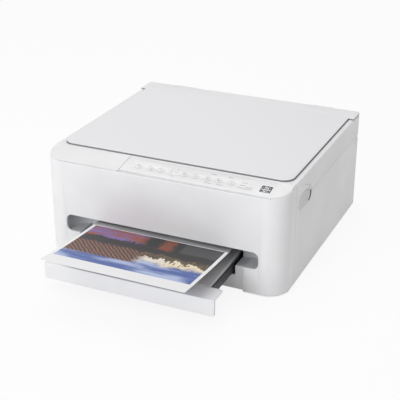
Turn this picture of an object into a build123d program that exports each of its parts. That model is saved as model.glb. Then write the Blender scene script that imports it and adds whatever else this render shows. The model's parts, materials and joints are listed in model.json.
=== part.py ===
from build123d import *
from math import atan2, cos, pi, sin
import os

os.makedirs("parts", exist_ok=True)

# Driving dimensions of the case, in millimetres
width = 372.0
depth = 350.0
height = 159.6
wall = 2.5
front_corner = 31.0
rear_corner = 10.0
top_round = 3.0
foot_round = 2.0
ground_gap = 1.5
foot_height = 3.5
foot_radius = 7.0
seam_height = 122.0
seam_gap = 0.4
sheet_reach = 148.5

# Output slot and the recess for the cassette's front plate
slot_half = 150.0
slot_bottom = 40.6
slot_top = 66.4
slot_corner = 9.0
recess_half = 128.3
recess_depth = 5.5
opening_half = 114.4
opening_bottom = 23.0
cheek_depth = 34.0
ledge_drop = 2.8

# Top deck, document cover and control strip
deck_height = 157.0
deck_skin = 2.4
strip_depth = 43.0
strip_front = 149.4
cover_margin = 9.0
cover_gap = 0.8
cover_corner = 16.0
cover_narrow_end = 317.0
well_floor = 152.0
well_skin = 1.6
glass_window = (297.0, 216.0)
glass_lap = 4.0
glass_thick = 3.0
panel_left = -63.0
panel_right = 163.0
panel_skin = 1.0
panel_gap = 0.2
panel_inset = 3.4
strip_edge = 0.4

# Keys of the control panel
key_centres = (-39.6, -20.8, -5.3, 31.0, 47.5, 65.7, 82.0, 100.7)
key_row = 21.0
key_length = 9.4
key_width = 6.4
key_proud = 0.3
key_gap = 0.25
key_stem = 6.0
light_centre = 10.6
light_pitch = 5.4
light_radius = 0.9

# Cassette
cassette_half = 111.0
cassette_bottom = 25.0
cassette_top = 38.4
cassette_wall = 2.2
cassette_length = 303.0
cassette_out = 98.3
cassette_clearance = 0.4
plate_bottom = 16.0
plate_thick = 4.6
plate_fit = 0.5
flange_depth = 31.0
flange_thick = 2.2
cover_start_height = 41.5
cover_slope = 0.0508
tray_reach = 178.3
tray_wall = 2.0
roller_clearance = 0.7

# Paper path
sheet_width = 210.0
sheet_length = 297.0
sheet_thick = 0.3
sheet_offset = 5.0
sheet_bend = 2150.0
path_height = 59.5
path_gap = 0.3
eject_place = 112.0
feed_place = 190.0
eject_radius = 6.0
feed_radius = 7.0
shaft_radius = 3.0
pinch_radius = 3.2
pickup_place = 246.0
pickup_height = 60.0
pickup_arm_reach = 40.0
pickup_radius = 9.0
running = 0.05
frame_half = 160.0
frame_thick = 1.5
frame_front = 95.0
frame_rear = 262.0
frame_top = 117.0

# Gears
module = 1.0
gear_width = 6.0
feed_teeth = 66
idler_teeth = 21
eject_teeth = 48
pinion_teeth = 16
gear_backlash = 0.5
gear_inset = 3.0

# Carriage
carriage_width = 50.0
carriage_front = 122.0
carriage_rear = 222.0
carriage_bottom = 68.0
carriage_top = 112.0
carriage_wall = 1.8
head_height = 62.0
cartridge_gap = 0.5
rod_radius = 4.0
rod_place = 212.0
rod_height = 98.0
rail_place = 233.0
rail_thick = 1.2
pulley_radius = 6.0
pulley_offset = 144.0
pulley_height = 84.0
belt_width = 5.0
belt_thick = 1.2
belt_place = 224.5
belt_gap = 0.3

# Hinges
knuckle_length = 12.0
knuckle_radius = 2.8
pin_radius = 1.3
hinge_offset = 120.0
hinge_gap = 0.3
scanner_clear = 4.0

# Rear
rear_window_half = 128.0
rear_window_bottom = 21.5
rear_window_top = 104.0
rear_cover_hinge = 27.0

# Levels worked out from the sizes above
front = (sheet_reach - depth) / 2
rear = front + depth
half = width / 2
floor_low = foot_height
floor_top = floor_low + wall
wrap_depth = strip_depth - seam_gap
strip_slope = (deck_height - strip_front) / strip_depth
strip_angle = atan2(deck_height - strip_front, strip_depth)
eject_height = path_height - path_gap - eject_radius
feed_height = path_height - path_gap - feed_radius
cover_axis = (front + depth - 3.5, deck_height + 0.2)
scanner_axis = (front + depth - 3.5, seam_height + seam_gap)


def block(low, high, mode=Mode.ADD):
    """Add a box between two opposite corners."""
    with Locations(low):
        Box(*(b - a for a, b in zip(low, high)), align=Align.MIN, mode=mode)


def rod(start, radius, length, axis="X", mode=Mode.ADD):
    """Add a round bar from a start point along an axis."""
    turn = {"X": (0, 90, 0), "Y": (-90, 0, 0), "Z": (0, 0, 0)}[axis]
    with Locations(Location(start, turn)):
        Cylinder(radius, length, align=(Align.CENTER, Align.CENTER, Align.MIN), mode=mode)


def prism(points, x_low, x_high, mode=Mode.ADD):
    """Add a side profile, given as (y, z) points, between two x places."""
    with BuildSketch(Plane.YZ.offset(x_low)) as side:
        with BuildLine():
            Polyline(*points, close=True)
        make_face()
    extrude(side.sketch, amount=x_high - x_low, mode=mode)


def footprint(inset, z_low, z_high, mode=Mode.ADD):
    """Add the rounded plan of the case, drawn in by an inset."""
    with BuildSketch(Plane.XY.offset(z_low)) as plan:
        with Locations((0, front + depth / 2)):
            Rectangle(width - 2 * inset, depth - 2 * inset)
        corners = plan.vertices().group_by(Axis.Y)
        fillet(corners[0], max(front_corner - inset, 1))
        fillet(plan.vertices().group_by(Axis.Y)[-1], max(rear_corner - inset, 1))
    extrude(plan.sketch, amount=z_high - z_low, mode=mode)


def keep_between(y_low, y_high, z_low=0, z_high=height):
    """Keep only what lies between two y places."""
    with Locations((0, (y_low + y_high) / 2, (z_low + z_high) / 2)):
        Box(2 * width, y_high - y_low, z_high - z_low, mode=Mode.INTERSECT)


def above_strip(drop, mode=Mode.SUBTRACT):
    """Take the space above a plane that lies a given drop under the sloped strip."""
    low = strip_front - drop - strip_slope
    high = deck_height - drop + strip_slope
    points = ((front - 1, low), (front + strip_depth + 1, high), (front + strip_depth + 1, 200), (front - 1, 200))
    prism(points, -half - 1, half + 1, mode)


def below_strip(drop, mode=Mode.SUBTRACT):
    """Take the space below a plane that lies a given drop under the sloped strip."""
    low = strip_front - drop - strip_slope
    high = deck_height - drop + strip_slope
    points = ((front - 1, low), (front + strip_depth + 1, high), (front + strip_depth + 1, 100), (front - 1, 100))
    prism(points, -half - 1, half + 1, mode)


def finish(name, builder):
    """Label a finished piece and write it out."""
    builder.part.label = name
    export_step(builder.part, f"parts/{name}.step")
    return builder.part


def scoop(side, z_low, z_high, mode=Mode.SUBTRACT):
    """Cut the finger scoop shared by a side panel and the scanner's wall."""
    scoop_radius = 14.0
    centre_x = side * (half + scoop_radius - 8.0)
    y_first = front + 66.0
    y_last = front + 98.0
    with BuildPart(mode=Mode.PRIVATE) as capsule:
        rod((centre_x, y_first, seam_height), scoop_radius, y_last - y_first, "Y")
        for y in (y_first, y_last):
            with Locations((centre_x, y, seam_height)):
                Sphere(scoop_radius)
        with Locations((centre_x, (y_first + y_last) / 2, (z_low + z_high) / 2)):
            Box(60, 200, z_high - z_low, mode=Mode.INTERSECT)
    add(capsule.part, mode=mode)


def meshing_phase(place, teeth, other_place, other_teeth, other_phase):
    """Turn a gear so that a gap of it meets a tooth of the gear that it runs with."""
    toward_other = atan2(other_place[1] - place[1], other_place[0] - place[0])
    toward_this = toward_other + pi
    other_pitch = 2 * pi / other_teeth
    tooth_offset = (toward_this - other_phase) % other_pitch / other_pitch
    return toward_other + (tooth_offset - 0.5) * 2 * pi / teeth


def gear(x, y, z, teeth, bore, phase=0.0, thick=gear_width):
    """Add a spur gear with its axis along X."""
    pitch = module * teeth / 2
    tip = pitch + module * 0.9
    root = pitch - module * 1.15
    points = []
    for i in range(teeth):
        middle = 2 * pi * i / teeth + phase
        quarter = pi / (2 * teeth) - gear_backlash / (2 * pitch)
        for radius, share in ((root, -1.5), (tip, -0.5), (tip, 0.5), (root, 1.5)):
            angle = middle + share * quarter
            points.append((y + radius * cos(angle), z + radius * sin(angle)))
    prism(points, x, x + thick)
    if bore:
        rod((x - 1, y, z), bore, thick + 2, "X", Mode.SUBTRACT)


# Outer form of the closed case, which every outer shell is cut from
with BuildPart() as strip_form:
    footprint(0, ground_gap, 2 * height)
    long_slope = (
        (front - 1, strip_front - strip_slope),
        (rear + 1, strip_front + strip_slope * (depth + 1)),
        (rear + 1, 3 * height),
        (front - 1, 3 * height),
    )
    prism(long_slope, -half - 1, half + 1, Mode.SUBTRACT)
    fillet(strip_form.faces().sort_by(Axis.Z)[-1].edges(), top_round)
with BuildPart() as case_form:
    footprint(0, ground_gap, deck_height)
    fillet(case_form.faces().sort_by(Axis.Z)[-1].edges(), top_round)
    fillet(case_form.faces().sort_by(Axis.Z)[0].edges(), foot_round)
    add(strip_form.part, mode=Mode.INTERSECT)
outer_form = case_form.part


def within_case():
    """Trim the piece being built to the outer form of the case."""
    add(outer_form, mode=Mode.INTERSECT)


# Front panel, wrapped round both front corners
with BuildPart() as front_panel:
    footprint(0, ground_gap, height)
    footprint(wall, ground_gap, height, Mode.SUBTRACT)
    keep_between(front - 1, front + wrap_depth)
    above_strip(strip_edge + seam_gap)
    within_case()
    with BuildSketch(Plane.XZ.offset(-front + 1)) as slot_mouth:
        with Locations((0, (slot_bottom + slot_top) / 2)):
            RectangleRounded(2 * slot_half, slot_top - slot_bottom, slot_corner)
    extrude(slot_mouth.sketch, amount=-wall - 2, mode=Mode.SUBTRACT)
    block((-recess_half, front - 1, 0), (recess_half, front + wall + 1, slot_bottom + 1), Mode.SUBTRACT)
    recess_back = front + recess_depth
    ledge_top = slot_bottom - ledge_drop
    block((-recess_half - wall, recess_back, ground_gap), (recess_half + wall, recess_back + wall, ledge_top))
    for side in (-1, 1):
        edges = sorted((side * recess_half, side * (recess_half + wall)))
        block((edges[0], front + wall, ground_gap), (edges[1], recess_back, ledge_top))
    block(
        (-opening_half, front, opening_bottom),
        (opening_half, recess_back + wall + 1, slot_bottom),
        Mode.SUBTRACT,
    )
    block((-slot_half + slot_corner, front + wall, slot_top), (slot_half - slot_corner, front + 16, slot_top + 2))
finish("front_panel", front_panel)

# Grey cheeks at both ends of the output slot
with BuildPart() as slot_cheeks:
    cheek_out = slot_half + 5.0
    cheek_back = front + wall + cheek_depth
    cheek_low = ledge_top - 2.5
    block((-cheek_out, recess_back + wall + 0.3, cheek_low), (cheek_out, cheek_back, slot_top - 0.2))
    block((-cheek_out, front + wall, slot_bottom - 2), (cheek_out, cheek_back, slot_top - 0.2))
    block(
        (-opening_half, front, cheek_low - 1),
        (opening_half, cheek_back + 1, slot_top + 1),
        Mode.SUBTRACT,
    )
    block(
        (-recess_half, front, ledge_top),
        (recess_half, cheek_back - wall, slot_top + 1),
        Mode.SUBTRACT,
    )
    block((-recess_half, front, 0), (recess_half, recess_back + wall + 0.3, slot_top), Mode.SUBTRACT)
    with BuildSketch(Plane.XY.offset(slot_bottom)) as scoops:
        for side in (-1, 1):
            with BuildLine():
                start = (side * slot_half, front)
                bend = (side * slot_half, front + wall + 6)
                end = (side * recess_half, cheek_back - wall)
                Line(start, bend)
                ThreePointArc(bend, (side * (slot_half - 7.5), cheek_back - wall - 8.5), end)
                Line(end, (side * recess_half, front))
                Line((side * recess_half, front), start)
            make_face()
    extrude(scoops.sketch, amount=slot_top, mode=Mode.SUBTRACT)
finish("slot_cheeks", slot_cheeks)

# Side panels with the finger scoop
for side, name in ((-1, "left_side_panel"), (1, "right_side_panel")):
    with BuildPart() as side_panel:
        footprint(0, ground_gap, seam_height)
        footprint(wall, ground_gap, seam_height, Mode.SUBTRACT)
        inner = sorted((side * (half - 12), side * (half - 1)))
        block((inner[0], front + 48.5, seam_height - 20), (inner[1], front + 116, seam_height))
        scoop(side, seam_height - 30, seam_height + 1)
        keep_between(front + strip_depth, rear - rear_corner - 2)
        kept = sorted((side * (half - 13), side * half))
        with Locations(((kept[0] + kept[1]) / 2, front + depth / 2, height / 2)):
            Box(kept[1] - kept[0], depth, height, mode=Mode.INTERSECT)
        within_case()
    finish(name, side_panel)

# Rear panel, with the window of the rear cover and the two sockets' holes
rear_seam = rear - rear_corner - 2 + seam_gap
rear_panel_top = seam_height - scanner_clear
inlet_centre = (-150.0, 40.0)
inlet_size = (22.0, 15.0)
board_low = 14.0
board_top = board_low + 1.6
port_body = (12.2, 11.2)
port_gap = 0.4
port_centre = (146.0, board_top + port_body[1] / 2)
port_size = (port_body[0] + 2 * port_gap, port_body[1] + 2 * port_gap)
with BuildPart() as rear_panel:
    footprint(0, ground_gap, rear_panel_top)
    footprint(wall, ground_gap, rear_panel_top, Mode.SUBTRACT)
    keep_between(rear_seam, rear + 1)
    within_case()
    block(
        (-rear_window_half, rear_seam, rear_window_bottom),
        (rear_window_half, rear + 1, rear_window_top),
        Mode.SUBTRACT,
    )
    for (x, z), (w, h) in ((inlet_centre, inlet_size), (port_centre, port_size)):
        block((x - w / 2, rear - 5, z - h / 2), (x + w / 2, rear + 1, z + h / 2), Mode.SUBTRACT)
    hinge_y, hinge_z = scanner_axis
    for side in (-1, 1):
        for share in (-1, 1):
            middle = side * hinge_offset + share * (knuckle_length + hinge_gap)
            low_x = middle - knuckle_length / 2
            block(
                (low_x, hinge_y - knuckle_radius, rear_panel_top - 6),
                (low_x + knuckle_length, hinge_y + knuckle_radius - 0.3, hinge_z),
            )
            rod((low_x, hinge_y, hinge_z), knuckle_radius, knuckle_length)
        pin_start = side * hinge_offset - knuckle_length - hinge_gap
        rod((pin_start, hinge_y, hinge_z), pin_radius, 2 * (knuckle_length + hinge_gap))
    for side in (-1, 1):
        x_low = sorted((side * rear_window_half, side * (rear_window_half + 5)))
        block(
            (x_low[0], rear - wall - 6, rear_cover_hinge - 4),
            (x_low[1], rear - wall, rear_cover_hinge + 4),
        )
        rod(
            (x_low[0] - 1, rear - wall - 2.2, rear_cover_hinge),
            pin_radius + running,
            7,
            mode=Mode.SUBTRACT,
        )
finish("rear_panel", rear_panel)

# Rear cover with its paper guide ribs, hinged at its lower edge
with BuildPart() as rear_cover:
    cover_half = rear_window_half - 0.5
    turn_centre = (rear - wall - 44.0, 62.0)
    block(
        (-cover_half, rear - wall, rear_cover_hinge - 2),
        (cover_half, rear, rear_window_top - 0.5),
    )
    for x in range(-100, 101, 25):
        block((x - 1, rear - wall - 26, rear_cover_hinge + 8), (x + 1, rear - wall, rear_window_top - 12))
    rod((-101, *turn_centre), 39.0, 202, mode=Mode.SUBTRACT)
    for side in (-1, 1):
        low_x = sorted((side * (cover_half - 5), side * cover_half))[0]
        block((low_x, rear - wall - 4.2, rear_cover_hinge - 2), (low_x + 5, rear - wall, rear_cover_hinge + 2))
        pin_low = sorted((side * (cover_half - 1), side * (rear_window_half + 3.5)))
        rod((pin_low[0], rear - wall - 2.2, rear_cover_hinge), pin_radius, pin_low[1] - pin_low[0])
    for side in (-1, 1):
        with Locations((side * 60, rear, rear_window_top - 10)):
            Box(26, 2.4, 10, mode=Mode.SUBTRACT)
finish("rear_cover", rear_cover)

# Base pan with the cassette's rails and the stand-offs of the board
pan_inset = wall + 0.4
rail_out = cassette_half + cassette_clearance
with BuildPart() as base_pan:
    footprint(pan_inset, floor_low, floor_top)
    block(
        (-recess_half - wall - 1, front, 0),
        (recess_half + wall + 1, front + recess_depth + wall + 0.4, floor_top + 1),
        Mode.SUBTRACT,
    )
    for side in (-1, 1):
        x_rail = sorted((side * rail_out, side * (rail_out + 2)))
        block((x_rail[0], front + 40, floor_top), (x_rail[1], rear - 44, cassette_top + 1))
        x_shelf = sorted((side * (rail_out - 7), side * rail_out))
        shelf_top = cassette_bottom - cassette_clearance
        block((x_shelf[0], front + 40, shelf_top - 2), (x_shelf[1], rear - 44, shelf_top))
    board_spots = ((122.0, 274.0), (176.0, 274.0), (122.0, 330.0), (176.0, 330.0))
    for x, y in board_spots:
        rod((x, front + y, floor_top), 3, board_low - floor_top, "Z")
finish("base_pan", base_pan)

# Rubber feet
foot_spots = ((-150, 48), (150, 48), (-160, 322), (160, 322))
with BuildPart() as rubber_feet:
    for x, y in foot_spots:
        rod((x, front + y, 0), foot_radius, foot_height, "Z")
    chamfer(rubber_feet.faces().sort_by(Axis.Z)[:4].edges(), 0.8)
finish("rubber_feet", rubber_feet)

# Sheet-metal side frames that carry the shafts
eject_reach = module * (eject_teeth + idler_teeth) / 2
idler_place = eject_place + eject_reach
idler_height = eject_height + (feed_height - eject_height) * eject_reach / (feed_place - eject_place)
motor_reach = module * (feed_teeth + pinion_teeth) / 2
motor_place = feed_place + 36.0
motor_height = feed_height - (motor_reach**2 - 36.0**2) ** 0.5
pinch_height = path_height + sheet_thick + path_gap + pinch_radius
pinch_shaft = 1.5
with BuildPart() as side_frames:
    for side in (-1, 1):
        x_low = sorted((side * frame_half, side * (frame_half + frame_thick)))
        block((x_low[0], front + frame_front, floor_top), (x_low[1], front + frame_rear, frame_top))
        foot_x = sorted((side * (frame_half - 12), side * frame_half))
        block((foot_x[0], front + frame_front + 10, floor_top), (foot_x[1], front + frame_rear - 10, floor_top + 1.5))
        for place, level, radius in (
            (eject_place, eject_height, shaft_radius),
            (feed_place, feed_height, shaft_radius),
            (eject_place, pinch_height, pinch_shaft),
            (feed_place, pinch_height, pinch_shaft),
            (pickup_place, pickup_height, shaft_radius),
        ):
            rod((x_low[0] - 1, front + place, level), radius + running, 4, mode=Mode.SUBTRACT)
    rod((-frame_half - 3, front + motor_place, motor_height), 2.5, 6, mode=Mode.SUBTRACT)
    stud_x = -frame_half - frame_thick - gear_inset - gear_width
    stud_length = gear_inset + gear_width
    rod((stud_x, front + idler_place, idler_height), 2, stud_length)
finish("side_frames", side_frames)

# Sheet-metal rail at the back of the carriage
with BuildPart() as carriage_rails:
    y_rail = front + rail_place
    block((-frame_half, y_rail, carriage_bottom), (frame_half, y_rail + rail_thick, frame_top))
    block((-frame_half, y_rail, carriage_bottom), (frame_half, y_rail + 14, carriage_bottom + rail_thick))
    block((-frame_half, y_rail, frame_top - rail_thick), (frame_half, y_rail + 14, frame_top))
    rod((pulley_offset, y_rail - 1, pulley_height), 2.5, 4, "Y", Mode.SUBTRACT)
    rod((-pulley_offset, front + belt_place - 0.5, pulley_height), 1.5, rail_place - belt_place + 0.5, "Y")
    rod((-frame_half, front + rod_place, rod_height), rod_radius, 2 * frame_half)
finish("carriage_rails", carriage_rails)

# Toothed belt, drawn as its closed loop round the two pulleys
with BuildPart() as timing_belt:
    with BuildSketch(Plane.XZ.offset(-front - belt_place)) as loop:
        with Locations((0, pulley_height)):
            SlotCenterToCenter(2 * pulley_offset, 2 * (pulley_radius + belt_gap + belt_thick))
            SlotCenterToCenter(2 * pulley_offset, 2 * (pulley_radius + belt_gap), mode=Mode.SUBTRACT)
    extrude(loop.sketch, amount=-belt_width)
finish("timing_belt", timing_belt)

# Carriage motor behind the rail, and its pulley on the shaft
motor_radius = 14.0
with BuildPart() as carriage_motor:
    motor_y = y_rail + rail_thick
    rod((pulley_offset, motor_y, pulley_height), motor_radius - 0.5, 30, "Y")
    rod((pulley_offset, motor_y - 0.1, pulley_height), 1.2, 40, "Y", Mode.SUBTRACT)
    rod((pulley_offset, motor_y + 30, pulley_height), 5, 2, "Y")
finish("carriage_motor", carriage_motor)

with BuildPart() as drive_pulley:
    rod((pulley_offset, front + belt_place - 0.6, pulley_height), pulley_radius, belt_width + 0.6, "Y")
    rod((pulley_offset, front + belt_place, pulley_height), 1.0, rail_place - belt_place + 20, "Y")
finish("drive_pulley", drive_pulley)

with BuildPart() as idler_pulley:
    rod((-pulley_offset, front + belt_place - 0.6, pulley_height), pulley_radius, belt_width + 0.6, "Y")
    rod((-pulley_offset, front + belt_place - 1, pulley_height), 1.5 + running, belt_width + 2, "Y", Mode.SUBTRACT)
finish("idler_pulley", idler_pulley)

# Platen under the print heads
with BuildPart() as platen:
    platen_front = front + eject_place + eject_radius + 4
    platen_back = front + feed_place - feed_radius - 4
    platen_half = cassette_half + 2
    platen_top = path_height - 0.8
    block((-platen_half, platen_front, platen_top - 6), (platen_half, platen_back, platen_top - 3.5))
    for i in range(13):
        x = -96 + 16 * i
        block((x - 0.8, platen_front, platen_top - 3.5), (x + 0.8, platen_back, platen_top))
    block((-frame_half, platen_front + 8, platen_top - 6), (-platen_half, platen_back - 8, platen_top - 3.5))
finish("platen", platen)

# Feed motor and gear train in the left side bay
feed_spot = (feed_place, feed_height)
idler_spot = (idler_place, idler_height)
eject_spot = (eject_place, eject_height)
motor_spot = (motor_place, motor_height)
feed_phase = 0.0
idler_phase = meshing_phase(idler_spot, idler_teeth, feed_spot, feed_teeth, feed_phase)
eject_phase = meshing_phase(eject_spot, eject_teeth, idler_spot, idler_teeth, idler_phase)
pinion_phase = meshing_phase(motor_spot, pinion_teeth, feed_spot, feed_teeth, feed_phase)
bay_x = -frame_half - frame_thick - gear_inset - gear_width
with BuildPart() as feed_motor:
    rod((-frame_half, front + motor_place, motor_height), motor_radius, 30)
    rod((-frame_half - 1, front + motor_place, motor_height), 1.2, 40, mode=Mode.SUBTRACT)
finish("feed_motor", feed_motor)


with BuildPart() as feed_pinion:
    gear(bay_x, front + motor_place, motor_height, pinion_teeth, 0, pinion_phase)
    rod((bay_x, front + motor_place, motor_height), 1.1, -bay_x - frame_half + 30)
finish("feed_pinion", feed_pinion)

with BuildPart() as feed_gear:
    gear(bay_x, front + feed_place, feed_height, feed_teeth, shaft_radius + running, feed_phase)
    for i in range(6):
        angle = 2 * pi * i / 6
        reach = (feed_teeth / 2 - 5 + shaft_radius + 4) / 2
        spot = (bay_x - 1, front + feed_place + reach * cos(angle), feed_height + reach * sin(angle))
        rod(spot, 6.5, gear_width + 2, mode=Mode.SUBTRACT)
finish("feed_gear", feed_gear)

with BuildPart() as idler_gear:
    gear(bay_x, front + idler_place, idler_height, idler_teeth, 2 + running, idler_phase)
finish("idler_gear", idler_gear)

with BuildPart() as eject_gear:
    gear(bay_x, front + eject_place, eject_height, eject_teeth, shaft_radius + running, eject_phase)
finish("eject_gear", eject_gear)

# Paper rollers
shaft_out = -bay_x + 1.5
roller_half = cassette_half - 3
with BuildPart() as feed_roller:
    rod((-shaft_out, front + feed_place, feed_height), shaft_radius, shaft_out + frame_half + 3)
    rod((-roller_half, front + feed_place, feed_height), feed_radius, 2 * roller_half)
finish("feed_roller", feed_roller)

tyre_spots = (-87.0, -52.0, -17.0, 18.0, 53.0, 88.0)
with BuildPart() as eject_roller:
    rod((-shaft_out, front + eject_place, eject_height), shaft_radius, shaft_out + frame_half + 3)
    for x in tyre_spots:
        rod((x - 5, front + eject_place, eject_height), eject_radius, 10)
finish("eject_roller", eject_roller)

with BuildPart() as star_wheels:
    rod((-frame_half - 3, front + eject_place, pinch_height), pinch_shaft, 2 * frame_half + 6)
    for x in tyre_spots:
        rod((x - 0.5, front + eject_place, pinch_height), pinch_radius, 1)
finish("star_wheels", star_wheels)

with BuildPart() as pinch_rollers:
    rod((-frame_half - 3, front + feed_place, pinch_height), pinch_shaft, 2 * frame_half + 6)
    for x in tyre_spots:
        rod((x - 7, front + feed_place, pinch_height), pinch_radius, 14)
finish("pinch_rollers", pinch_rollers)

# Pick-up arm over the open rear of the cassette
arm_half = 20.0
with BuildPart() as pickup_arm:
    rod((-frame_half - 3, front + pickup_place, pickup_height), shaft_radius, 2 * frame_half + 6)
    rod((-arm_half, front + pickup_place, pickup_height), 6, 2 * arm_half)
    for side in (-1, 1):
        x_low = sorted((side * arm_half, side * (arm_half - 3)))[0]
        block(
            (x_low, front + pickup_place, pickup_height - 5),
            (x_low + 3, front + pickup_place + pickup_arm_reach + 5, pickup_height + 5),
        )
    block(
        (-arm_half, front + pickup_place, pickup_height + 3),
        (arm_half, front + pickup_place + pickup_arm_reach - 14, pickup_height + 6),
    )
    rod((-arm_half, front + pickup_place + pickup_arm_reach, pickup_height), 2, 2 * arm_half)
finish("pickup_arm", pickup_arm)

with BuildPart() as pickup_roller:
    rod((-arm_half + 3.5, front + pickup_place + pickup_arm_reach, pickup_height), pickup_radius, 2 * arm_half - 7)
    rod(
        (-arm_half, front + pickup_place + pickup_arm_reach, pickup_height),
        2 + running,
        2 * arm_half,
        mode=Mode.SUBTRACT,
    )
finish("pickup_roller", pickup_roller)

# Carriage, parked at the right, with two cartridges under their lock levers
carriage_right = frame_half - 2
carriage_left = carriage_right - carriage_width
cartridge_width = (carriage_width - 3 * carriage_wall) / 2 - 2 * cartridge_gap
bay_front = front + carriage_front + carriage_wall
bay_back = bay_front + 62.0
nose_front = bay_front + 8
nose_back = nose_front + 40
bay_lows = (
    carriage_left + carriage_wall,
    carriage_left + 2 * carriage_wall + cartridge_width + 2 * cartridge_gap,
)
with BuildPart() as carriage:
    block(
        (carriage_left, front + carriage_front, carriage_bottom),
        (carriage_right, front + carriage_rear - 20, carriage_top - 8),
    )
    block(
        (carriage_left, bay_back + carriage_wall, rod_height - 9),
        (carriage_right, front + carriage_rear, rod_height + 12),
    )
    block(
        (carriage_left + 4, bay_back + 6, carriage_bottom - 1),
        (carriage_right - 4, front + carriage_rear - 14, rod_height - 9),
        Mode.SUBTRACT,
    )
    for x in bay_lows:
        block(
            (x, bay_front, carriage_bottom + 2),
            (x + cartridge_width + 2 * cartridge_gap, bay_back, height),
            Mode.SUBTRACT,
        )
        block(
            (x + 1, nose_front - 0.5, carriage_bottom - 1),
            (x + cartridge_width + 2 * cartridge_gap - 1, nose_back + 0.5, carriage_bottom + 3),
            Mode.SUBTRACT,
        )
    rod(
        (carriage_left - 1, front + rod_place, rod_height),
        rod_radius + running,
        carriage_width + 2,
        mode=Mode.SUBTRACT,
    )
    clamp_low = (carriage_left + carriage_right) / 2 - 10
    run_low = pulley_height + pulley_radius + belt_gap
    run_high = run_low + belt_thick
    block(
        (clamp_low, front + carriage_rear - 2, run_low - 2.6),
        (clamp_low + 14, front + belt_place + belt_width + 0.5, run_high + 3),
    )
    block(
        (clamp_low - 1, front + belt_place - belt_gap, run_low - belt_gap),
        (clamp_low + 15, front + belt_place + belt_width + 1, run_high + belt_gap),
        Mode.SUBTRACT,
    )
finish("carriage", carriage)

cartridge_top = carriage_top - 6
for x, name in zip(bay_lows, ("black_cartridge", "colour_cartridge")):
    x_low = x + cartridge_gap
    x_high = x_low + cartridge_width
    with BuildPart() as cartridge:
        block(
            (x_low, bay_front + cartridge_gap, carriage_bottom + 2),
            (x_high, bay_back - cartridge_gap, cartridge_top),
        )
        chamfer(cartridge.faces().sort_by(Axis.Z)[-1].edges(), 1.5)
        block((x_low + 1, nose_front, head_height), (x_high - 1, nose_back, carriage_bottom + 2))
    finish(name, cartridge)

lever_axis = (bay_back - 3.0, cartridge_top + 3.2)
for x, name in zip(bay_lows, ("black_lock_lever", "colour_lock_lever")):
    x_low = x + cartridge_gap
    x_high = x_low + cartridge_width
    with BuildPart() as lever:
        block((x_low, bay_front + 3, cartridge_top + 0.4), (x_high, bay_back - 3, cartridge_top + 2.4))
        rod((x_low, *lever_axis), 1.8, x_high - x_low)
        block((x_low + 4, bay_front - 3, cartridge_top + 0.4), (x_high - 4, bay_front + 3, cartridge_top + 3.4))
    finish(name, lever)

# Purge unit where the carriage parks
purge_left = sheet_offset + sheet_width / 2 + 4
with BuildPart() as purge_unit:
    block(
        (purge_left, front + carriage_front + 4, floor_top),
        (frame_half - 13, front + feed_place - 9, path_height - 4),
    )
    block(
        (purge_left + 2, front + carriage_front + 6, floor_top + 20),
        (frame_half - 15, front + feed_place - 11, path_height - 3),
        Mode.SUBTRACT,
    )
    block((purge_left, front + carriage_front + 20, path_height - 10), (frame_half - 13, nose_back, path_height - 4))
    for x in (purge_left + 1, purge_left + 17):
        block((x, nose_front + 14, path_height - 4), (x + 13, nose_back - 2, head_height - 0.4))
        block((x + 1.5, nose_front + 16, path_height - 2), (x + 11.5, nose_back - 4, head_height), Mode.SUBTRACT)
finish("purge_unit", purge_unit)

# Power supply, its inlet, and the main board with its port
supply_low = (-half + wall + 2.5, rear - 84.0, floor_top)
supply_high = (-rail_out - 6, rear - wall - 16.0, 62.0)
with BuildPart() as power_supply:
    block(supply_low, supply_high)
    for i in range(8):
        x = supply_low[0] + 8 + 6 * i
        block((x, supply_low[1] + 8, supply_high[2] - 3), (x + 2.5, supply_high[1] - 8, supply_high[2] + 1), Mode.SUBTRACT)
finish("power_supply", power_supply)

inlet_x, inlet_z = inlet_centre
inlet_fit = 0.25
with BuildPart() as power_inlet:
    block(
        (inlet_x - inlet_size[0] / 2 + inlet_fit, supply_high[1], inlet_z - inlet_size[1] / 2 + inlet_fit),
        (inlet_x + inlet_size[0] / 2 - inlet_fit, rear - 0.6, inlet_z + inlet_size[1] / 2 - inlet_fit),
    )
    with BuildSketch(Plane.XZ.offset(-rear)) as mouth:
        with Locations((inlet_x, inlet_z)):
            SlotCenterToCenter(7.2, 7.4)
    extrude(mouth.sketch, amount=13, mode=Mode.SUBTRACT)
    for side in (-1, 1):
        rod((inlet_x + side * 3.4, rear - 14, inlet_z), 1.1, 9, "Y")
finish("power_inlet", power_inlet)

port_x, port_z = port_centre
port_skin = 0.8
with BuildPart() as main_board:
    board_front = front + frame_rear + 4
    block((rail_out + 6, board_front, board_low), (half - wall - 3, rear - 12, board_top))
    block((130, board_front + 14, board_top), (152, board_front + 36, board_top + 2))
    block((124, board_front + 44, board_top), (134, board_front + 56, board_top + 1.5))
    block((160, board_front + 16, board_top), (172, board_front + 46, board_top + 9))
    for i in range(4):
        rod((128 + 7 * i, board_front + 6, board_top), 2.6, 8, "Z")
    block(
        (port_x - port_body[0] / 2, rear - 22, board_top),
        (port_x + port_body[0] / 2, rear - 0.6, port_z + port_body[1] / 2),
    )
    block(
        (port_x - port_body[0] / 2 + port_skin, rear - 16, port_z - port_body[1] / 2 + port_skin),
        (port_x + port_body[0] / 2 - port_skin, rear, port_z + port_body[1] / 2 - port_skin),
        Mode.SUBTRACT,
    )
    block((port_x - 2.8, rear - 17, port_z - 1.2), (port_x + 2.8, rear - 6, port_z + 1.2))
finish("main_board", main_board)

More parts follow.
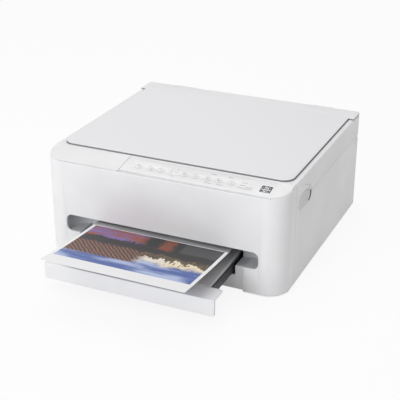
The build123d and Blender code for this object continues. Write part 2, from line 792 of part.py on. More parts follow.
# Scanner floor: tray inside the deck's walls, inner front wall and hinge knuckles
shell_low = seam_height + seam_gap
inner_inset = wall + 1.5
wrap_back = front + strip_depth
front_rim = strip_front - 4.0
shelf_y = rear - 9.4
shelf_low = seam_height + scanner_clear
shelf_thick = 2.0
wall_gap = 0.2
with BuildPart() as scanner_floor:
    footprint(inner_inset, shell_low, shell_low + wall)
    keep_between(front, shelf_y + wall)
    with BuildPart(mode=Mode.PRIVATE) as front_wall:
        footprint(inner_inset, shell_low, front_rim)
        footprint(inner_inset + wall, shell_low, front_rim + 1, Mode.SUBTRACT)
        keep_between(front, wrap_back + 1)
    add(front_wall.part)
    for side in (-1, 1):
        edge = sorted((side * (half - inner_inset - 1), side * (half - wall - wall_gap)))
        block((edge[0], front + 118, shell_low), (edge[1], shelf_y, shell_low + wall))
        boss = sorted((side * (half - 16.0), side * (half - 12.2)))
        block((boss[0], front + 46, shell_low), (boss[1], front + 118, shell_low + wall))
        cut = sorted((side * (half - 12.0), side * half))
        block((cut[0], wrap_back - 1, shell_low - 1), (cut[1], front + 117.5, height), Mode.SUBTRACT)
    riser_half = half - wall - wall_gap - 1.0
    block((-riser_half, shelf_y, shell_low), (riser_half, shelf_y + wall, shelf_low + shelf_thick))
    with BuildPart(mode=Mode.PRIVATE) as shelf:
        footprint(wall + wall_gap, shelf_low, shelf_low + shelf_thick)
        keep_between(shelf_y, rear)
    add(shelf.part)
    hinge_y, hinge_z = scanner_axis
    for side in (-1, 1):
        low_x = side * hinge_offset - knuckle_length / 2
        block(
            (low_x, hinge_y - knuckle_radius, hinge_z),
            (low_x + knuckle_length, hinge_y + 0.5, shelf_low + 1),
        )
        rod((low_x, hinge_y, hinge_z), knuckle_radius, knuckle_length)
        rod((low_x - 1, hinge_y, hinge_z), pin_radius + running, knuckle_length + 2, mode=Mode.SUBTRACT)
finish("scanner_floor", scanner_floor)

# Deck with the cover's well, the glass window and the sloped control strip
well_half = half - cover_margin + cover_gap
well_front = front + strip_depth + 1
well_back = front + cover_narrow_end + cover_gap
window_y = front + 170.0
panel_size = (panel_right - panel_left, strip_depth - 2 - panel_inset)
panel_middle = ((panel_left + panel_right) / 2, panel_inset + panel_size[1] / 2)
strip = Plane(origin=(0, front, strip_front), x_dir=(1, 0, 0), z_dir=(0, -sin(strip_angle), cos(strip_angle)))


def well_plan(grow, z_low, z_high, mode=Mode.ADD):
    """Add the rounded plan of the cover's well."""
    with BuildSketch(Plane.XY.offset(z_low)) as plan:
        with Locations((0, (well_front + well_back) / 2)):
            Rectangle(2 * (well_half + grow), well_back - well_front + 2 * grow)
        fillet(plan.vertices().group_by(Axis.Y)[0], cover_corner + cover_gap + grow)
    extrude(plan.sketch, amount=z_high - z_low, mode=mode)


def key_outline(grow, high, deep, mode=Mode.ADD):
    """Add the rounded outlines of all keys, square to the strip."""
    with BuildSketch(strip.offset(high)) as outlines:
        with Locations(*((x, key_row) for x in key_centres)):
            SlotOverall(key_length + 2 * grow, key_width + 2 * grow)
    extrude(outlines.sketch, amount=-deep, mode=mode)


under_skin = deck_height - deck_skin
with BuildPart() as deck:
    footprint(0, shell_low, deck_height)
    footprint(wall, shell_low, under_skin, Mode.SUBTRACT)
    keep_between(front + strip_depth, rear + 1, 0, 200)
    block((-half, wrap_back, shell_low), (half, wrap_back + wall, under_skin))
    block((-half + 8, wrap_back - 1, shell_low - 1), (half - 8, wrap_back + wall + 1, well_floor - well_skin), Mode.SUBTRACT)
    for side in (-1, 1):
        inner = sorted((side * (half - 12), side * (half - 1)))
        block((inner[0], front + 48.5, shell_low), (inner[1], front + 116, seam_height + 17))
        scoop(side, shell_low - 1, seam_height + 30)
    block((-half - 1, shelf_y, shell_low - 1), (half + 1, rear + 1, shelf_low), Mode.SUBTRACT)
    for inset, skin in ((0, strip_edge), (wall + seam_gap, deck_skin)):
        with BuildPart(mode=Mode.PRIVATE) as strip_layer:
            footprint(inset, strip_front - 10, deck_height)
            keep_between(front - 1, front + strip_depth, 0, 200)
            above_strip(0)
            below_strip(skin)
        add(strip_layer.part)
    within_case()
    well_plan(well_skin, well_floor - well_skin, under_skin + 1)
    well_plan(0, well_floor, height, Mode.SUBTRACT)
    block(
        (-glass_window[0] / 2, window_y - glass_window[1] / 2, 140),
        (glass_window[0] / 2, window_y + glass_window[1] / 2, height),
        Mode.SUBTRACT,
    )
    with BuildSketch(strip) as panel_seat:
        with Locations(panel_middle):
            Rectangle(*panel_size)
    extrude(panel_seat.sketch, amount=-panel_skin, mode=Mode.SUBTRACT)
    post_spots = ((-50.0, 33.0), (-50.0, 15.5), (55.0, 33.0), (150.0, 33.0), (150.0, 15.5))
    with BuildSketch(strip.offset(-panel_skin)) as posts:
        with Locations(*post_spots):
            Circle(2.5)
    extrude(posts.sketch, amount=-5.7)
    key_outline(key_gap, 1, 12, Mode.SUBTRACT)
    with BuildSketch(strip.offset(1)) as light_holes:
        with Locations(*((light_centre, key_row + light_pitch * i) for i in (-1, 0, 1))):
            Circle(light_radius + 0.1)
    extrude(light_holes.sketch, amount=-12, mode=Mode.SUBTRACT)
    hinge_y, hinge_z = cover_axis
    for side in (-1, 1):
        for share in (-1, 1):
            middle = side * hinge_offset + share * (knuckle_length + hinge_gap)
            low_x = middle - knuckle_length / 2
            rod((low_x, hinge_y, hinge_z), knuckle_radius, knuckle_length)
        notch_low = side * hinge_offset - knuckle_length / 2 - hinge_gap
        block(
            (notch_low, hinge_y - knuckle_radius - 0.5, under_skin - 1),
            (notch_low + knuckle_length + 2 * hinge_gap, rear + 1, height),
            Mode.SUBTRACT,
        )
        rod((notch_low - 1, hinge_y, hinge_z), pin_radius, knuckle_length + 2 * hinge_gap + 2)
finish("deck", deck)

with BuildPart() as control_panel:
    with BuildSketch(strip) as plate:
        with Locations(panel_middle):
            Rectangle(panel_size[0] - 2 * panel_gap, panel_size[1] - 2 * panel_gap)
        fillet(plate.vertices(), 1)
    extrude(plate.sketch, amount=-panel_skin)
    key_outline(key_gap, 1, 12, Mode.SUBTRACT)
    with BuildSketch(strip.offset(1)) as light_holes:
        with Locations(*((light_centre, key_row + light_pitch * i) for i in (-1, 0, 1))):
            Circle(light_radius + 0.1)
    extrude(light_holes.sketch, amount=-12, mode=Mode.SUBTRACT)
finish("control_panel", control_panel)

key_names = (
    "power_key",
    "wireless_key",
    "information_key",
    "network_key",
    "paper_key",
    "copy_black_key",
    "copy_colour_key",
    "stop_key",
)
for x, name in zip(key_centres, key_names):
    with BuildPart() as key:
        with BuildSketch(strip.offset(key_proud)) as outline:
            with Locations((x, key_row)):
                SlotOverall(key_length, key_width)
        extrude(outline.sketch, amount=-key_proud - key_stem)
    finish(name, key)

with BuildPart() as status_lights:
    with BuildSketch(strip.offset(0.1)) as lenses:
        with Locations(*((light_centre, key_row + light_pitch * i) for i in (-1, 0, 1))):
            Circle(light_radius)
    extrude(lenses.sketch, amount=-panel_skin - 5.8)
finish("status_lights", status_lights)

with BuildPart() as control_board:
    with BuildSketch(strip.offset(-panel_skin - 5.7)) as board:
        with Locations(((panel_left + panel_right) / 2, 24)):
            Rectangle(panel_right - panel_left, 28)
    extrude(board.sketch, amount=-1.2)
finish("control_board", control_board)

# Glass and scanning head on its rod
glass_top = well_floor - well_skin
with BuildPart() as scanner_glass:
    block(
        (-glass_window[0] / 2 - glass_lap, window_y - glass_window[1] / 2 - glass_lap, glass_top - glass_thick),
        (glass_window[0] / 2 + glass_lap, window_y + glass_window[1] / 2 + glass_lap, glass_top),
    )
finish("scanner_glass", scanner_glass)

scan_rod_height = shell_low + wall + 7
with BuildPart() as scan_rod:
    rod((-half + wall, window_y, scan_rod_height), 4, width - 2 * wall)
finish("scan_rod", scan_rod)

head_left = -half + wall + 14.0
head_width = 18.0
with BuildPart() as scan_head:
    block(
        (head_left, window_y - glass_window[1] / 2, scan_rod_height + 4.5),
        (head_left + head_width, window_y + glass_window[1] / 2, glass_top - glass_thick - 0.5),
    )
    block(
        (head_left, window_y - 9, scan_rod_height - 5.5),
        (head_left + head_width, window_y + 9, scan_rod_height + 5),
    )
    rod((head_left - 1, window_y, scan_rod_height), 4 + running, head_width + 2, mode=Mode.SUBTRACT)
finish("scan_head", scan_head)

# Document cover: moulded shell, inner liner and pressure pad
cover_low = well_floor + 0.6
cover_half_narrow = half - cover_margin
cover_front = well_front + cover_gap
cover_back = front + cover_narrow_end
wide_low = deck_height + 0.3


def cover_plan(inset, z_low, z_high, mode=Mode.ADD):
    """Add the rounded plan of the cover's narrow part."""
    with BuildSketch(Plane.XY.offset(z_low)) as plan:
        with Locations((0, (cover_front + cover_back) / 2)):
            Rectangle(2 * (cover_half_narrow - inset), cover_back - cover_front - 2 * inset)
        fillet(plan.vertices().group_by(Axis.Y)[0], cover_corner - inset)
    extrude(plan.sketch, amount=z_high - z_low, mode=mode)


with BuildPart() as cover_shell:
    footprint(0, wide_low, height)
    keep_between(cover_back - 6, cover_axis[0])
    cover_plan(0, cover_low, height)
    chamfer(cover_shell.faces().sort_by(Axis.Z)[-1].edges(), 0.6)
    cover_plan(1.8, cover_low - 1, height - 2.2, Mode.SUBTRACT)
    hinge_y, hinge_z = cover_axis
    for side in (-1, 1):
        notch_low = side * hinge_offset - 1.5 * knuckle_length - 2 * hinge_gap - 0.3
        block(
            (notch_low, hinge_y - knuckle_radius - 0.5, wide_low - 1),
            (notch_low + 3 * knuckle_length + 4 * hinge_gap + 0.6, rear, height + 1),
            Mode.SUBTRACT,
        )
        low_x = side * hinge_offset - knuckle_length / 2
        rod((low_x, hinge_y, hinge_z), knuckle_radius, knuckle_length)
        block((low_x, hinge_y - knuckle_radius - 1, wide_low), (low_x + knuckle_length, hinge_y, height))
        rod((low_x - 1, hinge_y, hinge_z), pin_radius + running, knuckle_length + 2, mode=Mode.SUBTRACT)
finish("cover_shell", cover_shell)

with BuildPart() as cover_liner:
    cover_plan(1.8 + 0.2, cover_low, cover_low + 1.8)
finish("cover_liner", cover_liner)

with BuildPart() as pressure_pad:
    with Locations((0, window_y, (glass_top + 0.3 + cover_low) / 2)):
        Box(glass_window[0] - 5, glass_window[1] - 5, cover_low - glass_top - 0.3)
finish("pressure_pad", pressure_pad)

# Cassette, pulled out as far as its grip shows
plate_front = front - cassette_out
cassette_front_inner = plate_front + plate_thick
flange_low = slot_bottom - flange_thick
with BuildPart() as cassette:
    block(
        (-cassette_half, cassette_front_inner, cassette_bottom),
        (cassette_half, plate_front + cassette_length, cassette_top),
    )
    block(
        (-cassette_half + cassette_wall, cassette_front_inner + cassette_wall, cassette_bottom + cassette_wall),
        (cassette_half - cassette_wall, plate_front + cassette_length - cassette_wall, height),
        Mode.SUBTRACT,
    )
finish("cassette", cassette)

plate_half = recess_half - plate_fit
with BuildPart() as cassette_front:
    with BuildSketch(Plane.XZ.offset(-plate_front)) as face:
        with Locations((0, (plate_bottom + slot_bottom) / 2)):
            Rectangle(2 * plate_half, slot_bottom - plate_bottom)
        fillet(face.vertices().group_by(Axis.Y)[0], 2.5)
    extrude(face.sketch, amount=-plate_thick)
    with BuildSketch(Plane.XY.offset(flange_low)) as flange:
        with Locations((0, plate_front + flange_depth / 2)):
            Rectangle(2 * plate_half, flange_depth)
        fillet(flange.vertices().group_by(Axis.Y)[-1], 3)
    extrude(flange.sketch, amount=flange_thick)
    fillet(cassette_front.edges().filter_by(Axis.X).group_by(Axis.Z)[-1].sort_by(Axis.Y)[0], 1.2)
finish("cassette_front", cassette_front)

tray_half = 109.0
tray_start = plate_front + flange_depth + 0.3
tray_end = plate_front + tray_reach
tray_level = eject_height - eject_radius - roller_clearance
tray_bend = tray_start + (tray_level - cover_start_height) / cover_slope
with BuildPart() as cassette_cover:
    prism(
        (
            (tray_start, cassette_top),
            (tray_start, cover_start_height),
            (tray_bend, tray_level),
            (tray_end, tray_level),
            (tray_end, cassette_top),
        ),
        -tray_half,
        tray_half,
    )
    prism(
        (
            (tray_start + tray_wall, cassette_top - 1),
            (tray_start + tray_wall, cover_start_height - tray_wall),
            (tray_bend, tray_level - tray_wall),
            (tray_end + 1, tray_level - tray_wall),
            (tray_end + 1, cassette_top - 1),
        ),
        -tray_half + tray_wall,
        tray_half - tray_wall,
        Mode.SUBTRACT,
    )
finish("cassette_cover", cassette_cover)

guide_outer = sheet_width / 2 + 2.5
for side, name in ((-1, "left_paper_guide"), (1, "right_paper_guide")):
    with BuildPart() as guide:
        floor = cassette_bottom + cassette_wall
        low_y = front + 100.0
        wall_x = sorted((side * (guide_outer - 2), side * guide_outer))
        block((wall_x[0], low_y, floor), (wall_x[1], low_y + 80, cassette_top))
        base_x = sorted((side * (guide_outer - 20), side * guide_outer))
        block((base_x[0], low_y + 20, floor), (base_x[1], low_y + 60, floor + 1.5))
    finish(name, guide)

# Printed sheet leaving the slot in a slight upward bend
nip = front + eject_place
sheet_front = front - sheet_reach
sheet_back = nip + sheet_length - (nip - sheet_front)
with BuildPart() as printed_sheet:
    with BuildSketch(Plane.YZ.offset(sheet_offset - sheet_width / 2)) as side_view:
        with BuildLine():
            reach = nip - sheet_front
            rises = [step**2 / (2 * sheet_bend) for step in (reach, reach / 2)]
            low_end = (sheet_front, path_height + rises[0])
            low_mid = (nip - reach / 2, path_height + rises[1])
            Line((sheet_back, path_height), (nip, path_height))
            ThreePointArc((nip, path_height), low_mid, low_end)
            Line(low_end, (sheet_front, low_end[1] + sheet_thick))
            ThreePointArc(
                (sheet_front, low_end[1] + sheet_thick),
                (low_mid[0], low_mid[1] + sheet_thick),
                (nip, path_height + sheet_thick),
            )
            Line((nip, path_height + sheet_thick), (sheet_back, path_height + sheet_thick))
            Line((sheet_back, path_height + sheet_thick), (sheet_back, path_height))
        make_face()
    extrude(side_view.sketch, amount=sheet_width)
finish("printed_sheet", printed_sheet)
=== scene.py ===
"""Looks of a compact white multifunction printer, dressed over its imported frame."""
import json
import logging
import math
from dataclasses import dataclass, field
from enum import Enum

import bpy
from mathutils import Matrix, Vector


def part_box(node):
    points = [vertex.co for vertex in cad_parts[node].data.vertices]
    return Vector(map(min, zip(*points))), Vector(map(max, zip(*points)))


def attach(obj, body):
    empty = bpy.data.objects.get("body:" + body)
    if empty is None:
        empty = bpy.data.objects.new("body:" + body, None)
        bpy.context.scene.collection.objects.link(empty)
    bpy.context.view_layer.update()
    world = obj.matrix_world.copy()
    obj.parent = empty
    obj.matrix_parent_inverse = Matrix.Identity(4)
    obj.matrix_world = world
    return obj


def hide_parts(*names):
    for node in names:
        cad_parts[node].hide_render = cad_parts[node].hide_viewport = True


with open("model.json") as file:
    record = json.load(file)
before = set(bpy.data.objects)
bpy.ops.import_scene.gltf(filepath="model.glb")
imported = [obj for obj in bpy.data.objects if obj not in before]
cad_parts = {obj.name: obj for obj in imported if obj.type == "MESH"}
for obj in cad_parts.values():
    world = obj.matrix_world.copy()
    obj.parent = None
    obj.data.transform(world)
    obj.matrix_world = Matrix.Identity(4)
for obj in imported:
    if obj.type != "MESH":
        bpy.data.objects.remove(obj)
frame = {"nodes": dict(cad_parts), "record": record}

LOG = logging.getLogger("printer")
MM = 0.001
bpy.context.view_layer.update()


class Ground(Enum):
    """What a finish is made of, which sets its shader and its pattern."""

    MOULDED = "moulded plastic"
    STEEL = "brushed steel"
    RUBBER = "rubber"
    GLASS = "clear glass"
    LENS = "clear plastic lens"
    # moulded plastic with painted shade: darker past a height where shadow falls
    SHADED = "moulded plastic, dark past a level"
    FOAM = "foam sheet"
    BOARD = "circuit board"
    INK = "printed ink"


class Weave:
    """Builds the nodes of one material and links them."""

    def __init__(self, name: str) -> None:
        """Start an empty material.

        Args:
            name: Name of the material.
        """
        self.material = bpy.data.materials.new(name)
        self.material.use_nodes = True
        self.nodes = self.material.node_tree.nodes
        self.links = self.material.node_tree.links
        self.nodes.clear()
        self.output = self.nodes.new("ShaderNodeOutputMaterial")
        self.shader = self.nodes.new("ShaderNodeBsdfPrincipled")
        self.links.new(self.shader.outputs[0], self.output.inputs[0])
        self.places = self.nodes.new("ShaderNodeTexCoord").outputs["Object"]

    def link(self, source, target) -> None:
        """Join an output to an input."""
        self.links.new(source, target)

    def add(self, kind: str, **settings):
        """Add a node and set its properties.

        Args:
            kind: Blender's name for the node.
            settings: Properties of the node and their values.

        Returns:
            The new node.
        """
        node = self.nodes.new(kind)
        for key, value in settings.items():
            setattr(node, key, value)
        return node

    def sum(self, operation: str, first, second=0.0, third=0.0):
        """Do one step of arithmetic on sockets or numbers.

        Args:
            operation: Name of the Math node's operation.
            first: Socket or number.
            second: Socket or number.
            third: Socket or number.

        Returns:
            The result's socket.
        """
        node = self.add("ShaderNodeMath", operation=operation)
        for place, value in enumerate((first, second, third)):
            if hasattr(value, "node"):
                self.link(value, node.inputs[place])
            else:
                node.inputs[place].default_value = value
        return node.outputs[0]

    def noise(self, size: float, detail: float = 2.0, stretch: tuple = (1, 1, 1), places=None):
        """Add noise of a given grain size.

        Args:
            size: Size of the grain in metres.
            detail: Octaves of the noise.
            stretch: How the pattern is drawn out along each axis.
            places: Coordinates, the object's own if none are given.

        Returns:
            The noise's value socket.
        """
        mapping = self.add("ShaderNodeMapping")
        mapping.inputs["Scale"].default_value = tuple(1 / s for s in stretch)
        self.link(places or self.places, mapping.inputs["Vector"])
        texture = self.add("ShaderNodeTexNoise")
        texture.inputs["Scale"].default_value = 1 / size
        texture.inputs["Detail"].default_value = detail
        self.link(mapping.outputs[0], texture.inputs["Vector"])
        return texture.outputs[0]

    def ramp(self, value, low: float, high: float, start: float = 0.0, end: float = 1.0, smooth: bool = True):
        """Map a value between two limits to another range.

        Args:
            value: Socket to map.
            low: Value that gives the start.
            high: Value that gives the end.
            start: Result at the low value.
            end: Result at the high value.
            smooth: True for a smooth step.

        Returns:
            The result's socket.
        """
        node = self.add("ShaderNodeMapRange", interpolation_type="SMOOTHSTEP" if smooth else "LINEAR")
        self.link(value, node.inputs[0])
        for place, number in zip((1, 2, 3, 4), (low, high, start, end)):
            node.inputs[place].default_value = number
        return node.outputs[0]

    def blend(self, share, first, second):
        """Mix two colours.

        Args:
            share: Socket with the share of the second colour.
            first: Colour or socket.
            second: Colour or socket.

        Returns:
            The mixed colour's socket.
        """
        node = self.add("ShaderNodeMix", data_type="RGBA")
        self.link(share, node.inputs[0])
        for place, value in ((6, first), (7, second)):
            if hasattr(value, "node"):
                self.link(value, node.inputs[place])
            else:
                node.inputs[place].default_value = (*value, 1)
        return node.outputs[2]

    def bump(self, height, strength: float, distance: float) -> None:
        """Raise the surface by a height pattern.

        Args:
            height: Socket with the height from 0 to 1.
            strength: Strength of the bump.
            distance: Height of the relief in metres.
        """
        node = self.add("ShaderNodeBump")
        node.inputs["Strength"].default_value = strength
        node.inputs["Distance"].default_value = distance
        self.link(height, node.inputs["Height"])
        self.link(node.outputs[0], self.shader.inputs["Normal"])

    def put(self, **values) -> None:
        """Set constants on the shader's own sockets, with underscores for spaces."""
        for key, value in values.items():
            self.shader.inputs[key.replace("_", " ")].default_value = value

    def shade(self, colour) -> None:
        """Give the shader its colour from a socket."""
        self.link(colour, self.shader.inputs["Base Color"])

    def gloss(self, roughness) -> None:
        """Give the shader its roughness from a socket."""
        self.link(roughness, self.shader.inputs["Roughness"])


@dataclass(frozen=True)
class Finish:
    """One finish of the printer's surfaces.

    Attributes:
        name: Name of the finish.
        ground: What it is made of.
        colour: Linear colour.
        roughness: Middle roughness.
        grain: Size of the surface's grain in metres.
        relief: Height of the grain in metres.
        drift: How much the colour varies over the surface.
        level: Height at which a finish's painted shade begins.
        lean: Rise of that height per metre towards the left.
        below: Painted shade under that height, as a share of the colour.
        above: Painted shade over that height, as a share of the colour.
    """

    name: str
    ground: Ground
    colour: tuple[float, float, float]
    roughness: float = 0.45
    grain: float = 0.0006
    relief: float = 0.00002
    drift: float = 0.03
    level: float = 0.0
    lean: float = 0.0
    below: float = 1.0
    above: float = 1.0

    def shades(self) -> tuple:
        """Return a darker and a lighter colour round the middle one."""
        shares = (1 - self.drift, 1 + self.drift / 2)
        return tuple(tuple(min(1.0, channel * share) for channel in self.colour) for share in shares)

    def material(self) -> bpy.types.Material:
        """Build the material, or return it if it's there already."""
        if self.name in bpy.data.materials:
            return bpy.data.materials[self.name]
        weave = Weave(self.name)
        builders = {
            Ground.MOULDED: self.moulded,
            Ground.STEEL: self.steel,
            Ground.RUBBER: self.rubber,
            Ground.GLASS: self.glass,
            Ground.LENS: self.lens,
            Ground.FOAM: self.foam,
            Ground.BOARD: self.board,
            Ground.INK: self.moulded,
            Ground.SHADED: self.moulded_with_painted_shade,
        }
        builders[self.ground](weave)
        return weave.material

    def moulded(self, weave: Weave) -> None:
        """Spark-eroded moulded plastic: a fine even grain and faint flow marks."""
        dark, light = self.shades()
        flow = weave.noise(0.09, 3)
        speck = weave.noise(self.grain * 3, 1)
        weave.shade(weave.blend(weave.ramp(flow, 0.35, 0.65), dark, light))
        weave.gloss(weave.ramp(speck, 0.2, 0.8, self.roughness - 0.05, self.roughness + 0.06))
        grain = weave.sum("MULTIPLY_ADD", speck, 0.5, weave.noise(self.grain, 2))
        weave.bump(grain, 0.35, self.relief)

    def moulded_with_painted_shade(self, weave: Weave) -> None:
        """Moulded plastic painted darker past a height as painted shade, as at a lid's rim or a pocket's
        roof.
        """
        self.moulded(weave)
        axes = weave.add("ShaderNodeSeparateXYZ")
        weave.link(weave.places, axes.inputs[0])
        height = weave.sum("MULTIPLY_ADD", axes.outputs[0], self.lean, axes.outputs[2])
        share = weave.ramp(height, self.level - 0.0001, self.level + 0.0001)
        # painted shade: the colour is scaled down on the shaded side of the level
        low = tuple(c * self.below for c in self.colour)
        high = tuple(c * self.above for c in self.colour)
        flow = weave.sum("MULTIPLY_ADD", weave.ramp(weave.noise(0.09, 3), 0.35, 0.65), 0.02, share)
        weave.shade(weave.blend(flow, low, high))

    def steel(self, weave: Weave) -> None:
        """Rolled or ground steel: fine lines along the length and a patchy sheen."""
        dark, light = self.shades()
        lines = weave.noise(0.0004, 2, (60, 1, 1))
        patches = weave.noise(0.02, 3)
        weave.shade(weave.blend(weave.ramp(patches, 0.3, 0.7), dark, light))
        weave.gloss(weave.ramp(lines, 0.25, 0.75, self.roughness - 0.08, self.roughness + 0.1))
        weave.put(Metallic=1.0)
        weave.bump(lines, 0.2, 0.00001)

    def rubber(self, weave: Weave) -> None:
        """Ground rubber: a matt surface with fine pits and a dusty bloom."""
        dark, light = self.shades()
        pits = weave.noise(self.grain, 3)
        weave.shade(weave.blend(weave.ramp(weave.noise(0.008, 2), 0.3, 0.7), dark, light))
        weave.gloss(weave.ramp(pits, 0.2, 0.8, self.roughness - 0.08, self.roughness + 0.08))
        weave.put(Sheen_Weight=0.15)
        weave.bump(pits, 0.6, self.relief)

    def glass(self, weave: Weave) -> None:
        """Float glass with the faintest wipe marks in its gloss."""
        weave.put(Transmission_Weight=1.0, IOR=1.5, Base_Color=(*self.colour, 1))
        weave.gloss(weave.ramp(weave.noise(0.03, 3, (3, 1, 1)), 0.3, 0.7, 0.01, 0.035))

    def lens(self, weave: Weave) -> None:
        """Frosted light guide in clear plastic."""
        dark, light = self.shades()
        weave.shade(weave.blend(weave.ramp(weave.noise(0.0006), 0.3, 0.7), dark, light))
        weave.put(Transmission_Weight=0.35, IOR=1.49)
        weave.gloss(weave.ramp(weave.noise(0.0004), 0.3, 0.7, 0.22, 0.34))

    def foam(self, weave: Weave) -> None:
        """White film over foam: small cells that show as soft dimples."""
        dark, light = self.shades()
        cells = weave.add("ShaderNodeTexVoronoi")
        cells.inputs["Scale"].default_value = 1 / 0.0016
        weave.link(weave.places, cells.inputs["Vector"])
        weave.shade(weave.blend(weave.ramp(weave.noise(0.05, 2), 0.35, 0.65), dark, light))
        weave.gloss(weave.ramp(cells.outputs[0], 0.0, 0.8, self.roughness - 0.05, self.roughness + 0.08))
        weave.bump(weave.sum("MULTIPLY_ADD", weave.noise(0.012, 2), 2.0, cells.outputs[0]), 0.4, 0.00008)

    def board(self, weave: Weave) -> None:
        """Green solder mask over copper tracks, with tinned pads in rows."""
        bricks = weave.add("ShaderNodeTexBrick")
        bricks.inputs["Scale"].default_value = 260.0
        bricks.inputs["Mortar Size"].default_value = 0.03
        bricks.inputs["Color1"].default_value = (*self.colour, 1)
        bricks.inputs["Color2"].default_value = (*(c * 1.5 for c in self.colour), 1)
        bricks.inputs["Mortar"].default_value = (*(c * 2.6 for c in self.colour), 1)
        weave.link(weave.places, bricks.inputs["Vector"])
        pads = weave.add("ShaderNodeTexVoronoi")
        pads.inputs["Scale"].default_value = 1 / 0.0035
        weave.link(weave.places, pads.inputs["Vector"])
        tinned = weave.ramp(pads.outputs[0], 0.10, 0.16, 1.0, 0.0)
        weave.shade(weave.blend(tinned, bricks.outputs[0], (0.55, 0.56, 0.55)))
        weave.gloss(weave.ramp(weave.noise(0.004), 0.3, 0.7, 0.28, 0.4))
        weave.bump(bricks.outputs[1], 0.2, 0.00003)


WHITE = Finish("white_case", Ground.MOULDED, (0.79, 0.79, 0.80), 0.42, 0.0005)
# white_lid: side faces under 159 mm painted to 0.30 of the white, as painted shadow of the gap under the
# lid's rim
LID_WHITE = Finish("white_lid", Ground.SHADED, (0.77, 0.77, 0.785), 0.40, 0.0005, level=0.1590, below=0.30)
PANEL_WHITE = Finish("white_panel", Ground.MOULDED, (0.80, 0.80, 0.81), 0.33, 0.0003, 0.000008)
KEY_WHITE = Finish("white_key", Ground.MOULDED, (0.79, 0.79, 0.80), 0.36, 0.0003, 0.000008)
TRAY_WHITE = Finish("white_tray_front", Ground.MOULDED, (0.78, 0.78, 0.795), 0.42, 0.0005)
# slot_grey: painted near black past a height that rises to the left, as painted shade under the slot's top
# lip over the right pocket
SLOT_GREY = Finish(
    "slot_grey", Ground.SHADED, (0.62, 0.60, 0.61), 0.38, 0.0004, level=0.0515, lean=0.05, above=0.04
)
TRAY_GREY = Finish("tray_grey", Ground.MOULDED, (0.48, 0.48, 0.49), 0.45, 0.0007, 0.00003, 0.06)
DARK = Finish("dark_grey_plastic", Ground.MOULDED, (0.035, 0.035, 0.038), 0.5, 0.0007, 0.00003, 0.1)
BLACK = Finish("black_plastic", Ground.MOULDED, (0.012, 0.012, 0.013), 0.5, 0.0007, 0.00003, 0.15)
LEVER_GREY = Finish("lever_grey", Ground.MOULDED, (0.30, 0.31, 0.33), 0.4, 0.0005)
TANK_BLACK = Finish("black_cartridge", Ground.MOULDED, (0.014, 0.014, 0.016), 0.35, 0.0005, 0.00001, 0.1)
TANK_GREY = Finish("grey_cartridge", Ground.MOULDED, (0.10, 0.105, 0.115), 0.35, 0.0005, 0.00001, 0.08)
GEAR_WHITE = Finish("natural_gear", Ground.MOULDED, (0.66, 0.65, 0.60), 0.38, 0.0004, 0.00001, 0.05)
FRAME_STEEL = Finish("plated_sheet", Ground.STEEL, (0.56, 0.57, 0.58), 0.34)
ROD_STEEL = Finish("ground_rod", Ground.STEEL, (0.62, 0.63, 0.64), 0.2)
MOTOR_STEEL = Finish("motor_can", Ground.STEEL, (0.45, 0.45, 0.46), 0.3)
ROLLER = Finish("roller_rubber", Ground.RUBBER, (0.022, 0.022, 0.024), 0.75, 0.0004, 0.00005, 0.2)
FOOT = Finish("foot_rubber", Ground.RUBBER, (0.016, 0.016, 0.017), 0.8, 0.0006, 0.00005, 0.2)
BELT = Finish("belt_rubber", Ground.RUBBER, (0.012, 0.012, 0.012), 0.7, 0.0008, 0.0001, 0.2)
GLASS = Finish("bed_glass", Ground.GLASS, (0.93, 0.97, 0.96))
LENS = Finish("light_guide", Ground.LENS, (0.66, 0.70, 0.72))
FOAM = Finish("pad_film", Ground.FOAM, (0.78, 0.78, 0.78), 0.5)
BOARD = Finish("solder_mask", Ground.BOARD, (0.012, 0.085, 0.035))
INK_GREY = Finish("grey_ink", Ground.INK, (0.14, 0.142, 0.155), 0.5, 0.0004, 0.000004, 0.1)
# real print on the patterned square and the black lever's dot, and painted shadow in the finger scoops
DARK_INK_AND_PAINTED_SHADOW = Finish("dark_ink_and_painted_shadow", Ground.INK, (0.055, 0.055, 0.065), 0.5, 0.0004, 0.000004, 0.1)
INK_BLUE = Finish("blue_ink", Ground.INK, (0.02, 0.22, 0.55), 0.4, 0.0004, 0.000004, 0.1)
INK_RED = Finish("red_ink", Ground.INK, (0.55, 0.03, 0.16), 0.4, 0.0004, 0.000004, 0.1)
INK_YELLOW = Finish("yellow_ink", Ground.INK, (0.75, 0.55, 0.02), 0.4, 0.0004, 0.000004, 0.1)

KEYS = (
    "power_key", "wireless_key", "information_key", "network_key",
    "paper_key", "copy_black_key", "copy_colour_key", "stop_key",
)

